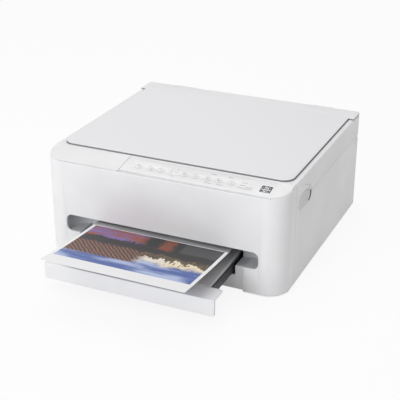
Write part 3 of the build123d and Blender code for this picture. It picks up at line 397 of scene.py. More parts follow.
NODE_FINISHES = dict.fromkeys(KEYS, KEY_WHITE) | {
    "front_panel": WHITE, "left_side_panel": WHITE, "right_side_panel": WHITE, "rear_panel": WHITE,
    "rear_cover": WHITE, "deck": WHITE, "scanner_floor": WHITE, "cover_shell": LID_WHITE,
    "control_panel": PANEL_WHITE, "cover_liner": WHITE, "pressure_pad": FOAM, "scanner_glass": GLASS,
    "status_lights": LENS, "control_board": BOARD, "slot_cheeks": SLOT_GREY, "base_pan": DARK,
    "rubber_feet": FOOT, "side_frames": FRAME_STEEL, "carriage_rails": FRAME_STEEL, "timing_belt": BELT,
    "carriage_motor": MOTOR_STEEL, "feed_motor": MOTOR_STEEL, "drive_pulley": DARK, "idler_pulley": DARK,
    "platen": BLACK, "purge_unit": DARK, "power_supply": BLACK, "power_inlet": BLACK, "main_board": BOARD,
    "feed_roller": ROLLER, "eject_roller": ROLLER, "feed_gear": GEAR_WHITE, "eject_gear": GEAR_WHITE,
    "idler_gear": GEAR_WHITE, "feed_pinion": GEAR_WHITE, "pinch_rollers": DARK, "star_wheels": FRAME_STEEL,
    "pickup_arm": DARK, "pickup_roller": ROLLER, "carriage": BLACK, "black_cartridge": TANK_BLACK,
    "colour_cartridge": TANK_GREY, "black_lock_lever": LEVER_GREY, "colour_lock_lever": LEVER_GREY,
    "scan_rod": ROD_STEEL, "scan_head": BLACK, "cassette": DARK, "cassette_front": TRAY_WHITE,
    "cassette_cover": TRAY_GREY, "left_paper_guide": TRAY_GREY, "right_paper_guide": TRAY_GREY,
}


def body_of_node(node: str) -> str:
    """Return the name of the body that a CAD node rides on."""
    return next(body for body, members in frame["record"]["behaviour"]["bodies"].items() if node in members)


def take(piece: bpy.types.Object) -> None:
    """Make one object the only selected and active one."""
    if bpy.context.object and bpy.context.object.mode != "OBJECT":
        bpy.ops.object.mode_set(mode="OBJECT")
    bpy.ops.object.select_all(action="DESELECT")
    piece.select_set(True)
    bpy.context.view_layer.objects.active = piece


def pick(piece: bpy.types.Object, kind: str, test) -> None:
    """Select the faces, edges or points of a piece that pass a test, and enter edit mode.

    Args:
        piece: Object to select in.
        kind: FACE, EDGE or VERT.
        test: Function of a face, an edge's middle and direction, or a point's place.
    """
    take(piece)
    mesh = piece.data
    for group in (mesh.polygons, mesh.edges, mesh.vertices):
        for item in group:
            item.select = False
    if kind == "FACE":
        for face in mesh.polygons:
            face.select = bool(test(face.center, face.normal))
    elif kind == "EDGE":
        for edge in mesh.edges:
            first, last = (mesh.vertices[i].co for i in edge.vertices)
            edge.select = bool(test((first + last) / 2, (last - first).normalized()))
    else:
        for point in mesh.vertices:
            point.select = bool(test(point.co))
    bpy.ops.object.mode_set(mode="EDIT")
    bpy.ops.mesh.select_mode(type=kind)


def done() -> None:
    """Leave edit mode."""
    bpy.ops.object.mode_set(mode="OBJECT")


def cube(name: str, low: tuple, high: tuple) -> bpy.types.Object:
    """Add a block between two corners, with its place in its mesh.

    Args:
        name: Name of the piece.
        low: Lowest corner in metres.
        high: Highest corner in metres.

    Returns:
        The block.
    """
    low, high = Vector(low), Vector(high)
    bpy.ops.object.select_all(action="DESELECT")
    bpy.ops.mesh.primitive_cube_add(size=1, location=(low + high) / 2, scale=high - low)
    piece = bpy.context.object
    piece.name = name
    settle(piece)
    return piece


def disc(name: str, centre: tuple, radius: float, height: float, turn: tuple = (0, 0, 0), sides: int = 32):
    """Add a round block with its place in its mesh.

    Args:
        name: Name of the piece.
        centre: Middle of the block in metres.
        radius: Radius in metres.
        height: Length along its axis in metres.
        turn: Turn about X, Y and Z.
        sides: Number of sides.

    Returns:
        The round block.
    """
    bpy.ops.object.select_all(action="DESELECT")
    bpy.ops.mesh.primitive_cylinder_add(
        vertices=sides, radius=radius, depth=height, location=centre, rotation=turn
    )
    piece = bpy.context.object
    piece.name = name
    settle(piece)
    return piece


def settle(piece: bpy.types.Object) -> None:
    """Put an object's place, turn and scale into its mesh."""
    take(piece)
    bpy.ops.object.transform_apply(location=True, rotation=True, scale=True)


def shaped(piece: bpy.types.Object, kind: str, **settings) -> None:
    """Add a modifier, set it and apply it.

    Args:
        piece: Object to change.
        kind: Blender's name for the modifier.
        settings: Its properties and their values.
    """
    take(piece)
    modifier = piece.modifiers.new(kind.lower(), kind)
    for key, value in settings.items():
        setattr(modifier, key, value)
    bpy.ops.object.modifier_apply(modifier=modifier.name)


def soften(piece: bpy.types.Object, width: float, segments: int = 2, limit: float = 32) -> None:
    """Round the sharp edges of a piece and smooth its shading.

    Args:
        piece: Object to change.
        width: Width of the rounding in metres.
        segments: Steps of the rounding.
        limit: Angle in degrees past which an edge counts as sharp.
    """
    if width > 0:
        shaped(
            piece, "BEVEL", width=width, segments=segments, limit_method="ANGLE",
            angle_limit=math.radians(limit), use_clamp_overlap=False, miter_outer="MITER_ARC",
        )
    take(piece)
    bpy.ops.object.shade_smooth_by_angle(angle=math.radians(35))


def cut(piece: bpy.types.Object, cutter: bpy.types.Object) -> None:
    """Cut one closed shape out of another and delete the cutter."""
    shaped(piece, "BOOLEAN", object=cutter, operation="DIFFERENCE", solver="EXACT")
    bpy.data.objects.remove(cutter)


def joined(name: str, parts: list) -> bpy.types.Object:
    """Join objects into one named piece.

    Args:
        name: Name of the piece.
        parts: Objects to join.

    Returns:
        The joined piece.
    """
    take(parts[0])
    for part in parts:
        part.select_set(True)
    bpy.ops.object.join()
    piece = bpy.context.object
    piece.name = name
    return piece


def copied(piece: bpy.types.Object, matrix: Matrix) -> bpy.types.Object:
    """Copy a piece with a mesh of its own, moved by a matrix.

    Args:
        piece: Object to copy.
        matrix: Move and turn for the copy's mesh.

    Returns:
        The copy.
    """
    twin = bpy.data.objects.new(piece.name, piece.data.copy())
    twin.data.transform(matrix)
    bpy.context.scene.collection.objects.link(twin)
    return twin


def spun(profile: bpy.types.Object, face, steps: int, sweep: float, axis: tuple) -> None:
    """Spin one face of a thin profile about the origin into a closed arc.

    Args:
        profile: Thin block to start from.
        face: Test that picks the face, given its centre and normal.
        steps: Steps of the arc.
        sweep: Angle of the arc in radians.
        axis: Axis of the arc.
    """
    pick(profile, "FACE", face)
    bpy.ops.mesh.spin(steps=steps, angle=sweep, center=(0, 0, 0), axis=axis)
    bpy.ops.mesh.select_all(action="SELECT")
    bpy.ops.mesh.remove_doubles(threshold=0.0000005)
    bpy.ops.mesh.normals_make_consistent(inside=False)
    done()


def dress(piece: bpy.types.Object, finish, body: str) -> bpy.types.Object:
    """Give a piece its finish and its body.

    Args:
        piece: Object to dress.
        finish: Finish, or a material made elsewhere.
        body: Name of the body that it rides on.

    Returns:
        The piece.
    """
    piece.data.materials.clear()
    piece.data.materials.append(finish.material() if isinstance(finish, Finish) else finish)
    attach(piece, body)
    LOG.info("%s on %s", piece.name, body)
    return piece


def moulding(node: str, width: float, segments: int = 2, flats: bool = True) -> bpy.types.Object:
    """Make the moulded form of a CAD node: a merged copy with rounded edges.

    Args:
        node: Name of the node.
        width: Width of the rounding in metres.
        segments: Steps of the rounding.
        flats: True to make one face of each flat side first.

    Returns:
        The piece, which replaces the node.
    """
    piece = bpy.data.objects.new(node + "_moulding", frame["nodes"][node].data.copy())
    bpy.context.scene.collection.objects.link(piece)
    take(piece)
    bpy.ops.object.mode_set(mode="EDIT")
    bpy.ops.mesh.select_all(action="SELECT")
    bpy.ops.mesh.remove_doubles(threshold=0.000002)
    if flats:
        bpy.ops.mesh.dissolve_limited(angle_limit=math.radians(0.4))
    done()
    soften(piece, width, segments)
    low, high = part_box(node)
    for point in piece.data.vertices:
        point.co = [min(max(value, least), most) for value, least, most in zip(point.co, low, high)]
    dress(piece, NODE_FINISHES[node], body_of_node(node))
    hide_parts(node)
    return piece


@dataclass
class Studio:
    """Floor, soft lamps, world and camera.

    Attributes:
        place: Where the camera stands.
        back: Direction from the object towards the camera.
        right: Direction to the right in the picture.
        focal: Focal length in pixels of the 400 pixel picture.
    """

    place: tuple[float, float, float] = (0.5622, -1.2052, 0.6958)
    back: tuple[float, float, float] = (0.3727, -0.8258, 0.4233)
    azimuth: float = 24.29
    focal: float = 988.9
    picture: float = 400.0
    sensor: float = 36.0

    def camera(self) -> None:
        """Set the camera at the photograph's view."""
        data = bpy.data.cameras.new("camera")
        data.sensor_width = self.sensor
        data.lens = self.focal / self.picture * self.sensor
        camera = bpy.data.objects.new("camera", data)
        bpy.context.scene.collection.objects.link(camera)
        back = Vector(self.back).normalized()
        turn = math.radians(self.azimuth)
        right = Vector((math.cos(turn), math.sin(turn), 0))
        up = back.cross(right)
        camera.matrix_world = Matrix.Translation(self.place) @ Matrix((right, up, back)).transposed().to_4x4()
        bpy.context.scene.camera = camera

    def seen_white(self, nodes, links):
        """Return a socket that is 1 for rays from the camera, a mirror or glass."""
        path = nodes.new("ShaderNodeLightPath")
        total = path.outputs["Is Camera Ray"]
        for name in ("Is Glossy Ray", "Is Transmission Ray"):
            both = nodes.new("ShaderNodeMath")
            both.operation = "MAXIMUM"
            links.new(total, both.inputs[0])
            links.new(path.outputs[name], both.inputs[1])
            total = both.outputs[0]
        return total

    def world(self, strength: float = 0.53) -> None:
        """Surround the object with soft even light, white where it is seen.

        Args:
            strength: Level of the light on the object.
        """
        world = bpy.data.worlds.new("studio")
        bpy.context.scene.world = world
        world.use_nodes = True
        nodes, links = world.node_tree.nodes, world.node_tree.links
        nodes.clear()
        output = nodes.new("ShaderNodeOutputWorld")
        glow = nodes.new("ShaderNodeBackground")
        glow.inputs[0].default_value = (1, 1, 1, 1)
        level = nodes.new("ShaderNodeMapRange")
        links.new(self.seen_white(nodes, links), level.inputs[0])
        level.inputs[3].default_value = strength
        level.inputs[4].default_value = 1.0
        links.new(level.outputs[0], glow.inputs[1])
        links.new(glow.outputs[0], output.inputs[0])

    def floor(self, shade: float = 0.12) -> None:
        """Lay the white floor, which keeps a faint shadow.

        Args:
            shade: Share of the floor's colour that comes from its light and shadow.
        """
        bpy.ops.object.select_all(action="DESELECT")
        bpy.ops.mesh.primitive_plane_add(size=16, location=(0, 0, -0.00005))
        floor = bpy.context.object
        floor.name = "studio_floor"
        settle(floor)
        material = bpy.data.materials.new("studio_floor")
        material.use_nodes = True
        nodes, links = material.node_tree.nodes, material.node_tree.links
        nodes.clear()
        output = nodes.new("ShaderNodeOutputMaterial")
        paint = nodes.new("ShaderNodeBsdfDiffuse")
        paint.inputs[0].default_value = (0.9, 0.9, 0.9, 1)
        glow = nodes.new("ShaderNodeEmission")
        glow.inputs[0].default_value = (1, 1, 1, 1)
        mixed = nodes.new("ShaderNodeMixShader")
        share = nodes.new("ShaderNodeMath")
        share.operation = "MULTIPLY"
        share.inputs[1].default_value = 1 - shade
        links.new(self.seen_white(nodes, links), share.inputs[0])
        links.new(share.outputs[0], mixed.inputs[0])
        links.new(paint.outputs[0], mixed.inputs[1])
        links.new(glow.outputs[0], mixed.inputs[2])
        links.new(mixed.outputs[0], output.inputs[0])
        floor.data.materials.append(material)

    def lamp(self, name: str, place: tuple, size: float, power: float) -> None:
        """Hang a square soft lamp that faces the printer.

        Args:
            name: Name of the lamp.
            place: Where it hangs.
            size: Side length in metres.
            power: Power in watts.
        """
        data = bpy.data.lights.new(name, "AREA")
        data.size = size
        data.energy = power
        lamp = bpy.data.objects.new(name, data)
        bpy.context.scene.collection.objects.link(lamp)
        aim = Vector((0, 0.05, 0.08)) - Vector(place)
        lamp.matrix_world = Matrix.Translation(place) @ aim.to_track_quat("-Z", "Y").to_matrix().to_4x4()

    def build(self) -> None:
        """Set up the whole studio."""
        self.camera()
        self.world()
        self.floor()
        self.lamp("key_lamp", (-0.6, -2.3, 0.9), 1.4, 27)
        self.lamp("top_lamp", (-0.3, 0.3, 2.2), 1.8, 17)
        bpy.context.scene.view_settings.view_transform = "Standard"


@dataclass
class Case:
    """Outer shells, feet and the things that the user sees of the base.

    Attributes:
        edge: Rounding of the large shells' edges.
        scoop_rim: Radius of the finger scoop's rim in the side's plane.
        scoop_end: Distance from the front face to the centre of the scoop's rear end.
        screw_level: Height of the rear screws.
        screw_sink: Distance from the rear face to the screws' seat.
        rear: Place of the case's rear face.
    """

    edge: float = 0.5 * MM
    scoop_rim: float = 12.5 * MM
    scoop_end: float = 98 * MM
    screw_level: float = 98 * MM
    screw_sink: float = 0.9 * MM
    rear: float = field(default_factory=lambda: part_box("rear_panel")[1].y)

    def build(self) -> None:
        """Make every shell of the case."""
        moulding("front_panel", self.edge, flats=False)
        for node in ("left_side_panel", "right_side_panel"):
            moulding(node, self.edge)
        for node in ("rear_panel", "deck"):
            moulding(node, self.edge, flats=False)
        moulding("slot_cheeks", 0.8 * MM, 3)
        moulding("scanner_floor", 0.3 * MM, 1, flats=False)
        moulding("rear_cover", 0.3 * MM, 1, flats=False)
        moulding("base_pan", 0.3 * MM, 1)
        moulding("rubber_feet", 0.4 * MM, 3)
        moulding("power_inlet", 0.3 * MM)
        self.screws()
        self.scoop_shades()

    def scoop_shades(self) -> None:
        """Line the rear rim of each finger scoop with a dark arc, a painted shadow for its undercut."""
        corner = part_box("right_side_panel")[1]
        centre_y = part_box("front_panel")[0].y + self.scoop_end
        half_width, inset, drop = 0.7 * MM, 1.2 * MM, 0.3 * MM
        for side, name in ((1, "right_scoop_painted_shadow"), (-1, "left_scoop_painted_shadow")):
            outer = (half_width, self.scoop_rim, 0)
            profile = cube("arc", (-half_width, self.scoop_rim - 1.0 * MM, -0.01 * MM), outer)
            spun(profile, lambda centre, normal: normal.z < -0.9, 16, math.radians(82), (1, 0, 0))
            place = (side * (corner.x - inset), centre_y, corner.z - drop)
            profile.data.transform(Matrix.Translation(place))
            profile.name = name
            soften(profile, 0.0)
            # painted shadow: a dark arc standing in for the shade under the scoop's rim
            dress(profile, DARK_INK_AND_PAINTED_SHADOW, "base")

    def screw(self) -> bpy.types.Object:
        """Model one cross-head screw, facing +Y at the origin."""
        head = disc("screw", (0, 0.4 * MM, 0), 3.0 * MM, 1.6 * MM, (math.pi / 2, 0, 0))
        soften(head, 0.5 * MM, 3)
        bottom, top = 0.3 * MM, 2.0 * MM
        narrow, wide = 0.35 * MM, 1.9 * MM
        for half_x, half_z in ((narrow, wide), (wide, narrow)):
            cut(head, cube("cross", (-half_x, bottom, -half_z), (half_x, top, half_z)))
        return head

    def screws(self) -> None:
        """Fasten the rear panel with screws."""
        master = self.screw()
        seat = self.rear - self.screw_sink
        places = [(x * MM, seat, self.screw_level) for x in (-164, -140, 140, 168)]
        parts = [copied(master, Matrix.Translation(place)) for place in places]
        bpy.data.objects.remove(master)
        dress(joined("rear_screws", parts), FRAME_STEEL, "base")


@dataclass
class Cover:
    """Document cover with its liner and pressure pad."""

    def build(self) -> None:
        """Make the pieces of the cover."""
        moulding("cover_shell", 0.5 * MM, 3)
        moulding("cover_liner", 0.3 * MM)
        moulding("pressure_pad", 1.2 * MM, 3)


@dataclass
class Controls:
    """Sloped control strip with keys, marks and lights.

    Attributes:
        front: Place of the case's front face.
        level: Height of the strip's front edge.
        rise: Rise of the strip over its depth.
        run: Depth of the strip.
        row: Place of the key row up the strip.
        proud: How far the keys stand proud of the strip.
        ink: Thickness of the printed marks.
        line: Width of the arcs' lines.
        fine_line: Width of the straight lines in the keys' marks, in millimetres.
        keys: Nodes of the keys from left to right.
    """

    front: float = field(default_factory=lambda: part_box("front_panel")[0].y)
    level: float = 149.4 * MM
    rise: float = 7.6 * MM
    run: float = 43.0 * MM
    row: float = 21.0 * MM
    proud: float = 0.3 * MM
    ink: float = 0.03 * MM
    line: float = 0.42 * MM
    fine_line: float = 0.32
    keys: tuple = KEYS

    def plane(self) -> Matrix:
        """Return the frame of the strip: X along it, Y up it and Z out of it."""
        angle = math.atan2(self.rise, self.run)
        return Matrix.Translation((0, self.front, self.level)) @ Matrix.Rotation(angle, 4, "X")

    def laid(self, piece: bpy.types.Object) -> bpy.types.Object:
        """Lay a flat piece, drawn in the strip's own frame, on the strip."""
        piece.data.transform(self.plane())
        return piece

    def bar(self, x: float, v: float, length: float, width: float, lift: float = 0.0) -> bpy.types.Object:
        """Draw a small printed bar in the strip's frame.

        Args:
            x: Middle along the strip.
            v: Middle up the strip.
            length: Length along the strip.
            width: Width up the strip.
            lift: Height over the strip.

        Returns:
            The bar.
        """
        low = (x - length / 2, v - width / 2, lift)
        return cube("bar", low, (x + length / 2, v + width / 2, lift + self.ink))

    def arc(self, x: float, v: float, radius: float, start: float, sweep: float, width: float, lift: float):
        """Draw a printed arc in the strip's frame by spinning a small profile.

        Args:
            x: Centre along the strip.
            v: Centre up the strip.
            radius: Middle radius.
            start: Angle of its start in radians.
            sweep: Angle that it spans in radians.
            width: Width of the line.
            lift: Height over the strip.

        Returns:
            The arc.
        """
        inner, outer = radius - width / 2, radius + width / 2
        profile = cube("arc", (inner, -0.01 * MM, lift), (outer, 0.0, lift + self.ink))
        spun(profile, lambda centre, normal: normal.y > 0.9, 10, sweep, (0, 0, 1))
        profile.data.transform(Matrix.Translation((x, v, 0)) @ Matrix.Rotation(start, 4, "Z"))
        return profile

    def glyph(self, kind: int, x: float, lift: float) -> list:
        """Draw the small plain mark in the middle of a key.

        Args:
            kind: Number of the key, which picks the mark.
            x: Middle of the key along the strip.
            lift: Height over the strip.

        Returns:
            The mark's parts.
        """
        v = self.row
        fine = self.fine_line

        def ring() -> list:
            """Draw an open ring."""
            return [self.arc(x, v, 1.1 * MM, math.radians(130), math.radians(280), self.line, lift)]

        def dot(offset: float) -> list:
            """Draw a dot, some millimetres over the middle."""
            centre = (x, v + offset * MM, lift + self.ink / 2)
            return [disc("dot", centre, 0.4 * MM, self.ink, sides=16)]

        def fan() -> list:
            """Draw two arcs, one over the other."""
            foot, start, sweep = v - 1.2 * MM, math.radians(45), math.radians(90)
            return [self.arc(x, foot, r * MM, start, sweep, self.line, lift) for r in (1.2, 2.2)]

        def bars(length: float, width: float, offsets: tuple, side: float = 0.0) -> list:
            """Draw a bar at each offset over the middle, all in millimetres."""
            return [self.bar(x + side * MM, v + d * MM, length * MM, width * MM, lift) for d in offsets]

        def page() -> list:
            """Draw the outline of a page."""
            return bars(2.2, fine, (-1.3, 1.3)) + bars(fine, 2.6, (0,), -1.1) + bars(fine, 2.6, (0,), 1.1)

        marks = (
            lambda: ring() + bars(fine, 1.3, (0.9,)),
            lambda: fan() + dot(-1.0),
            lambda: bars(0.5, 1.6, (-0.5,)) + dot(1.2),
            lambda: page() + bars(1.2, fine, (-0.4, 0.4)),
            lambda: bars(2.6, fine, (-0.9, 0.0, 0.9)),
            lambda: page() + dot(0),
            lambda: page() + bars(1.2, 1.2, (0,)),
            ring,
        )
        return marks[kind]()

    def key_marks(self) -> None:
        """Print a mark on each key and an arc on the panel at each side of it."""
        for place, key in enumerate(self.keys):
            low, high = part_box(key)
            x = (low.x + high.x) / 2
            radius = (high.x - low.x) / 2 + 0.5 * MM
            marks = self.laid(joined(key.replace("_key", "_mark"), self.glyph(place, x, self.proud)))
            dress(marks, INK_GREY, body_of_node(key))
            reach = math.radians(32)
            starts = (-reach, math.pi - reach)
            arcs = [self.arc(x, self.row, radius, start, 2 * reach, self.line, 0.0) for start in starts]
            brackets = self.laid(joined(key.replace("_key", "_brackets"), arcs))
            dress(brackets, INK_GREY, "scanner")

    def strip_marks(self) -> None:
        """Print the short plain bars beside the keys."""
        bars = [(70.0, 33.4, 8.0), (95.0, 33.4, 7.0), (69.5, 11.5, 9.0), (86.5, 11.5, 9.5)]
        bars += [(117.5, 20.2, 8.0), (128.0, 17.6, 11.0), (116.0, 14.0, 5.0), (126.0, 13.4, 13.0)]
        bars += [(18.5, 29.0, 4.0), (18.0, 23.4, 5.0), (16.0, 12.6, 3.0)]
        parts = [self.bar(x * MM, v * MM, length * MM, 0.7 * MM) for x, v, length in bars]
        parts += [
            self.arc(x * MM, 26.6 * MM, 1.1 * MM, 0, math.radians(340), 0.4 * MM, 0.0) for x in (115.8, 120.4)
        ]
        dress(self.laid(joined("strip_marks", parts)), INK_GREY, "scanner")

    def patterned_square(self, x: float = 150.8 * MM, v: float = 21.0 * MM, side: float = 15.2 * MM) -> None:
        """Print the dark patterned square near the strip's right end.

        Args:
            x: Middle along the strip.
            v: Middle up the strip.
            side: Side length.
        """
        dark = self.laid(self.bar(x, v, side, side))
        dark.name = "square_ground"
        dress(dark, DARK_INK_AND_PAINTED_SHADOW, "scanner")
        cells = 13
        cell = side / cells
        parts = []
        for row in range(1, cells - 1):
            for column in range(1, cells - 1):
                if (row * row * 3 + column * 5 + row * column * 7) % 8 in (0, 3, 6):
                    spot = (x - side / 2 + (column + 0.5) * cell, v - side / 2 + (row + 0.5) * cell)
                    parts.append(self.bar(*spot, cell * 1.001, cell * 1.001, self.ink / 2))
        dress(self.laid(joined("patterned_square", parts)), PANEL_WHITE, "scanner")

    def panel_ends(self) -> None:
        """Draw the dark joint at the panel's left end and close the flush one at its right end."""
        low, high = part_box("control_panel")
        middle, depth = 20.6 * MM, 43.4 * MM
        joint = self.laid(self.bar(low.x - 0.25 * MM, middle, 0.45 * MM, depth))
        joint.name = "panel_joint"
        dress(joint, INK_GREY, "scanner")
        seal = self.laid(self.bar(high.x + 0.1 * MM, middle, 1.6 * MM, depth, -0.01 * MM))
        seal.name = "panel_seal"
        dress(seal, PANEL_WHITE, "scanner")

    def build(self) -> None:
        """Make the control strip."""
        self.panel_ends()
        moulding("control_panel", 0.15 * MM)
        for key in self.keys:
            moulding(key, 0.2 * MM, 3)
        self.key_marks()
        self.strip_marks()
        self.patterned_square()


@dataclass
class PaperTray:
    """Cassette that is pulled out, with its cover and guides."""

    def build(self) -> None:
        """Make the tray's pieces."""
        moulding("cassette_front", 0.6 * MM, 3)
        moulding("cassette_cover", 0.4 * MM)
        moulding("cassette", 0.4 * MM)
        for node in ("left_paper_guide", "right_paper_guide"):
            moulding(node, 0.3 * MM)


@dataclass
class Sheet:
    """Printed sheet that leaves the slot.

    Attributes:
        steps: Number of strips along the sheet.
        thick: Thickness of the sheet as shown.
    """

    steps: int = 60
    thick: float = 0.3 * MM

    def paint(self) -> bpy.types.Material:
        """Build the print: a generic dusk landscape, seen upside down, inside white margins, with the sheet's
        rear painted grey as painted shade.
        """
        weave = Weave("printed_paper")
        uv = weave.add("ShaderNodeUVMap", uv_map="print").outputs[0]
        axes = weave.add("ShaderNodeSeparateXYZ")
        weave.link(uv, axes.inputs[0])
        across, along = axes.outputs[0], axes.outputs[1]
        clouds = weave.noise(0.035, 5, (2.2, 0.55, 1), uv)
        ripple = weave.noise(0.018, 4, (1, 1, 1), uv)
        jag = weave.noise(0.006, 5, (0.5, 2.0, 1), uv)
        blue = weave.blend(weave.ramp(clouds, 0.42, 0.62), (0.055, 0.11, 0.36), (0.42, 0.50, 0.72))
        glow_edge = weave.sum("MULTIPLY_ADD", ripple, 0.030, weave.sum("MULTIPLY_ADD", across, -0.06, along))
        cream = weave.blend(weave.ramp(clouds, 0.4, 0.6), (0.86, 0.74, 0.52), (0.80, 0.72, 0.66))
        sky = weave.blend(weave.ramp(glow_edge, 0.062, 0.076), blue, cream)
        ridge = weave.sum("MULTIPLY_ADD", jag, 0.030, weave.sum("MULTIPLY_ADD", ripple, 0.045, along))
        wood = weave.blend(weave.ramp(jag, 0.35, 0.7), (0.030, 0.022, 0.010), (0.17, 0.11, 0.045))
        scene = weave.blend(weave.ramp(ridge, 0.112, 0.115), sky, wood)
        left_slope = weave.sum("MULTIPLY_ADD", across, 0.42, weave.sum("MULTIPLY_ADD", ripple, -0.012, 0.0))
        terrace = weave.sum("SUBTRACT", along, weave.sum("MULTIPLY", left_slope, left_slope))
        rows = weave.add("ShaderNodeTexWave", wave_type="BANDS", bands_direction="DIAGONAL")
        rows.inputs["Scale"].default_value = 90.0
        rows.inputs["Distortion"].default_value = 3.0
        weave.link(uv, rows.inputs["Vector"])
        furrows = weave.ramp(rows.outputs[1], 0.55, 0.8)
        field_tone = weave.blend(furrows, (0.050, 0.018, 0.012), (0.26, 0.12, 0.07))
        on_left = weave.ramp(weave.sum("MULTIPLY_ADD", ripple, 0.03, across), 0.115, 0.135, 1.0, 0.0)
        terraces = weave.sum("MULTIPLY", on_left, weave.ramp(terrace, 0.047, 0.052))
        scene = weave.blend(terraces, scene, field_tone)
        dark_edge = weave.sum("MULTIPLY_ADD", ripple, 0.022, along)
        scene = weave.blend(weave.ramp(dark_edge, 0.098, 0.104), scene, (0.010, 0.009, 0.009))
        patch = weave.blend(weave.ramp(clouds, 0.42, 0.6), (0.30, 0.07, 0.03), (0.20, 0.13, 0.36))
        patch_on = weave.sum(
            "MULTIPLY",
            weave.ramp(weave.sum("MULTIPLY_ADD", jag, 0.02, dark_edge), 0.128, 0.134),
            weave.ramp(weave.sum("MULTIPLY_ADD", ripple, 0.05, across), 0.105, 0.13, 1.0, 0.0),
        )
        scene = weave.blend(patch_on, scene, patch)
        rust_x = weave.sum("ABSOLUTE", weave.sum("SUBTRACT", across, 0.128))
        rust_on = weave.sum(
            "MULTIPLY",
            weave.ramp(weave.sum("MULTIPLY_ADD", jag, 0.02, rust_x), 0.014, 0.024, 1.0, 0.0),
            weave.ramp(dark_edge, 0.112, 0.120),
        )
        scene = weave.blend(rust_on, scene, (0.20, 0.045, 0.018))
        slate_on = weave.sum("MULTIPLY", weave.ramp(across, 0.148, 0.152), weave.ramp(along, 0.105, 0.112))
        scene = weave.blend(slate_on, scene, (0.055, 0.055, 0.058))
        past_front = weave.ramp(along, 0.0248, 0.0252)
        inside = weave.sum("MULTIPLY", past_front, weave.ramp(along, 0.1388, 0.1392, 1.0, 0.0))
        inside = weave.sum("MULTIPLY", inside, weave.ramp(across, 0.0046, 0.0050))
        inside = weave.sum("MULTIPLY", inside, weave.ramp(across, 0.2050, 0.2054, 1.0, 0.0))
        paper = weave.blend(weave.noise(0.0008, 3, (1, 1, 1), uv), (0.84, 0.84, 0.85), (0.88, 0.88, 0.885))
        # painted shade: the sheet's rear part, inside the slot, is painted grey with soft darker bands for
        # the shadow that falls there
        bands = weave.ramp(weave.noise(0.03, 2, (4, 1, 1), uv), 0.4, 0.6)
        tail = weave.blend(bands, (0.30, 0.30, 0.31), (0.42, 0.42, 0.43))
        paper = weave.blend(weave.ramp(along, 0.1400, 0.1404), paper, tail)
        weave.shade(weave.blend(inside, paper, scene))
        weave.gloss(weave.ramp(weave.noise(0.004, 2, (1, 1, 1), uv), 0.3, 0.7, 0.30, 0.38))
        weave.bump(weave.noise(0.0006, 2, (1, 1, 1), uv), 0.2, 0.000004)
        return weave.material

    def build(self) -> None:
        """Model the curled sheet from a plane and dress it."""
        low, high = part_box("printed_sheet")
        source = frame["nodes"]["printed_sheet"].data
        crown = sorted({(round(p.co.y, 5), round(p.co.z, 6)) for p in source.vertices})
        tops = {}
        for y, z in crown:
            tops[y] = max(z, tops.get(y, 0.0))
        line = sorted(tops.items())
        bpy.ops.object.select_all(action="DESELECT")
        bpy.ops.mesh.primitive_grid_add(x_subdivisions=12, y_subdivisions=self.steps, size=1)
        piece = bpy.context.object
        piece.name = "curled_print"
        mesh = piece.data
        uv = mesh.uv_layers[0]
        uv.name = "print"
        for point in mesh.vertices:
            point.co.x = low.x + (point.co.x + 0.5) * (high.x - low.x)
            point.co.y = low.y + (point.co.y + 0.5) * (high.y - low.y)
            point.co.z = self.level(line, point.co.y)
        for loop in mesh.loops:
            place = mesh.vertices[loop.vertex_index].co
            uv.data[loop.index].uv = (place.x - low.x, place.y - low.y)
        shaped(piece, "SOLIDIFY", thickness=self.thick, offset=-1)
        take(piece)
        bpy.ops.object.shade_smooth_by_angle(angle=math.radians(35))
        dress(piece, self.paint(), "sheet")
        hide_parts("printed_sheet")

    def level(self, line: list, y: float) -> float:
        """Return the sheet's upper face at one place along it.

        Args:
            line: Places and heights of the sheet's upper edge.
            y: Place along the sheet.

        Returns:
            The height there.
        """
        for (y_low, z_low), (y_high, z_high) in zip(line, line[1:]):
            if y_low <= y <= y_high:
                share = (y - y_low) / max(y_high - y_low, 1e-9)
                return z_low + share * (z_high - z_low)
        return line[0][1] if y < line[0][0] else line[-1][1]


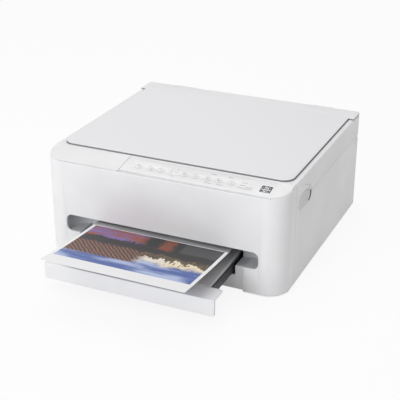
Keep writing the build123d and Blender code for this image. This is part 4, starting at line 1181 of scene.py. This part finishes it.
@dataclass
class Works:
    """Mechanism inside: scanner, carriage, rollers and boards."""

    smooth: tuple = (
        "carriage_motor", "feed_motor", "drive_pulley", "idler_pulley", "feed_roller", "eject_roller",
        "pinch_rollers", "star_wheels", "pickup_roller", "scan_rod", "timing_belt", "pickup_arm",
    )
    boxed: tuple = (
        "carriage", "black_cartridge", "colour_cartridge", "black_lock_lever", "colour_lock_lever",
        "purge_unit", "power_supply", "scan_head", "platen",
    )

    def build(self) -> None:
        """Round the mechanism's pieces and add their small details."""
        for node in self.smooth:
            moulding(node, 0.0)
        for node in self.boxed:
            moulding(node, 0.3 * MM, flats=node not in ("carriage", "purge_unit"))
        self.scan_lamp()
        self.colour_dots()

    def scan_lamp(self) -> None:
        """Add the light bar and the lens row on top of the scan head."""
        low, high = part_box("scan_head")
        inset, sink = 3 * MM, 0.2 * MM
        strips = (
            ("scan_light_bar", 3 * MM, 6 * MM, 0.2 * MM, LENS, "light_lens"),
            ("scan_lens_row", 9 * MM, 11 * MM, 0.15 * MM, DARK, "black_plastic"),
        )
        for name, start, end, proud, finish, slot in strips:
            first = (low.x + start, low.y + inset, high.z - sink)
            strip = cube(name, first, (low.x + end, high.y - inset, high.z + proud))
            soften(strip, 0.15 * MM, 2)
            dress(strip, finish, "scan_head")

    def colour_dots(self) -> None:
        """Mark the lock levers with plain ink dots."""
        inset, height, thick = 20 * MM, 2.0 * MM, 0.1 * MM
        dots = (
            ("blue_dot", "colour", -5 * MM, 1.6 * MM, INK_BLUE),
            ("red_dot", "colour", 0.0, 1.6 * MM, INK_RED),
            ("yellow_dot", "colour", 5 * MM, 1.6 * MM, INK_YELLOW),
            ("black_dot", "black", 0.0, 1.8 * MM, DARK_INK_AND_PAINTED_SHADOW),
        )
        for name, ink, offset, radius, finish in dots:
            low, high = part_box(ink + "_lock_lever")
            centre = ((low.x + high.x) / 2 + offset, low.y + inset, low.z + height)
            dress(disc(name, centre, radius, thick), finish, ink + "_lever")


def finish_nodes() -> None:
    """Give every CAD node that stays its material."""
    for node, piece in frame["nodes"].items():
        finish = NODE_FINISHES.get(node, WHITE)
        piece.data.materials.clear()
        piece.data.materials.append(finish.material())
        for face in piece.data.polygons:
            face.material_index = 0


def main() -> None:
    """Dress the printer and set up the studio."""
    logging.basicConfig(level=logging.INFO, format="%(message)s")
    Studio().build()
    finish_nodes()
    for assembly in (Case(), Cover(), Controls(), PaperTray(), Sheet(), Works()):
        LOG.info("building %s", type(assembly).__name__)
        assembly.build()


if __name__ == "__main__":
    main()
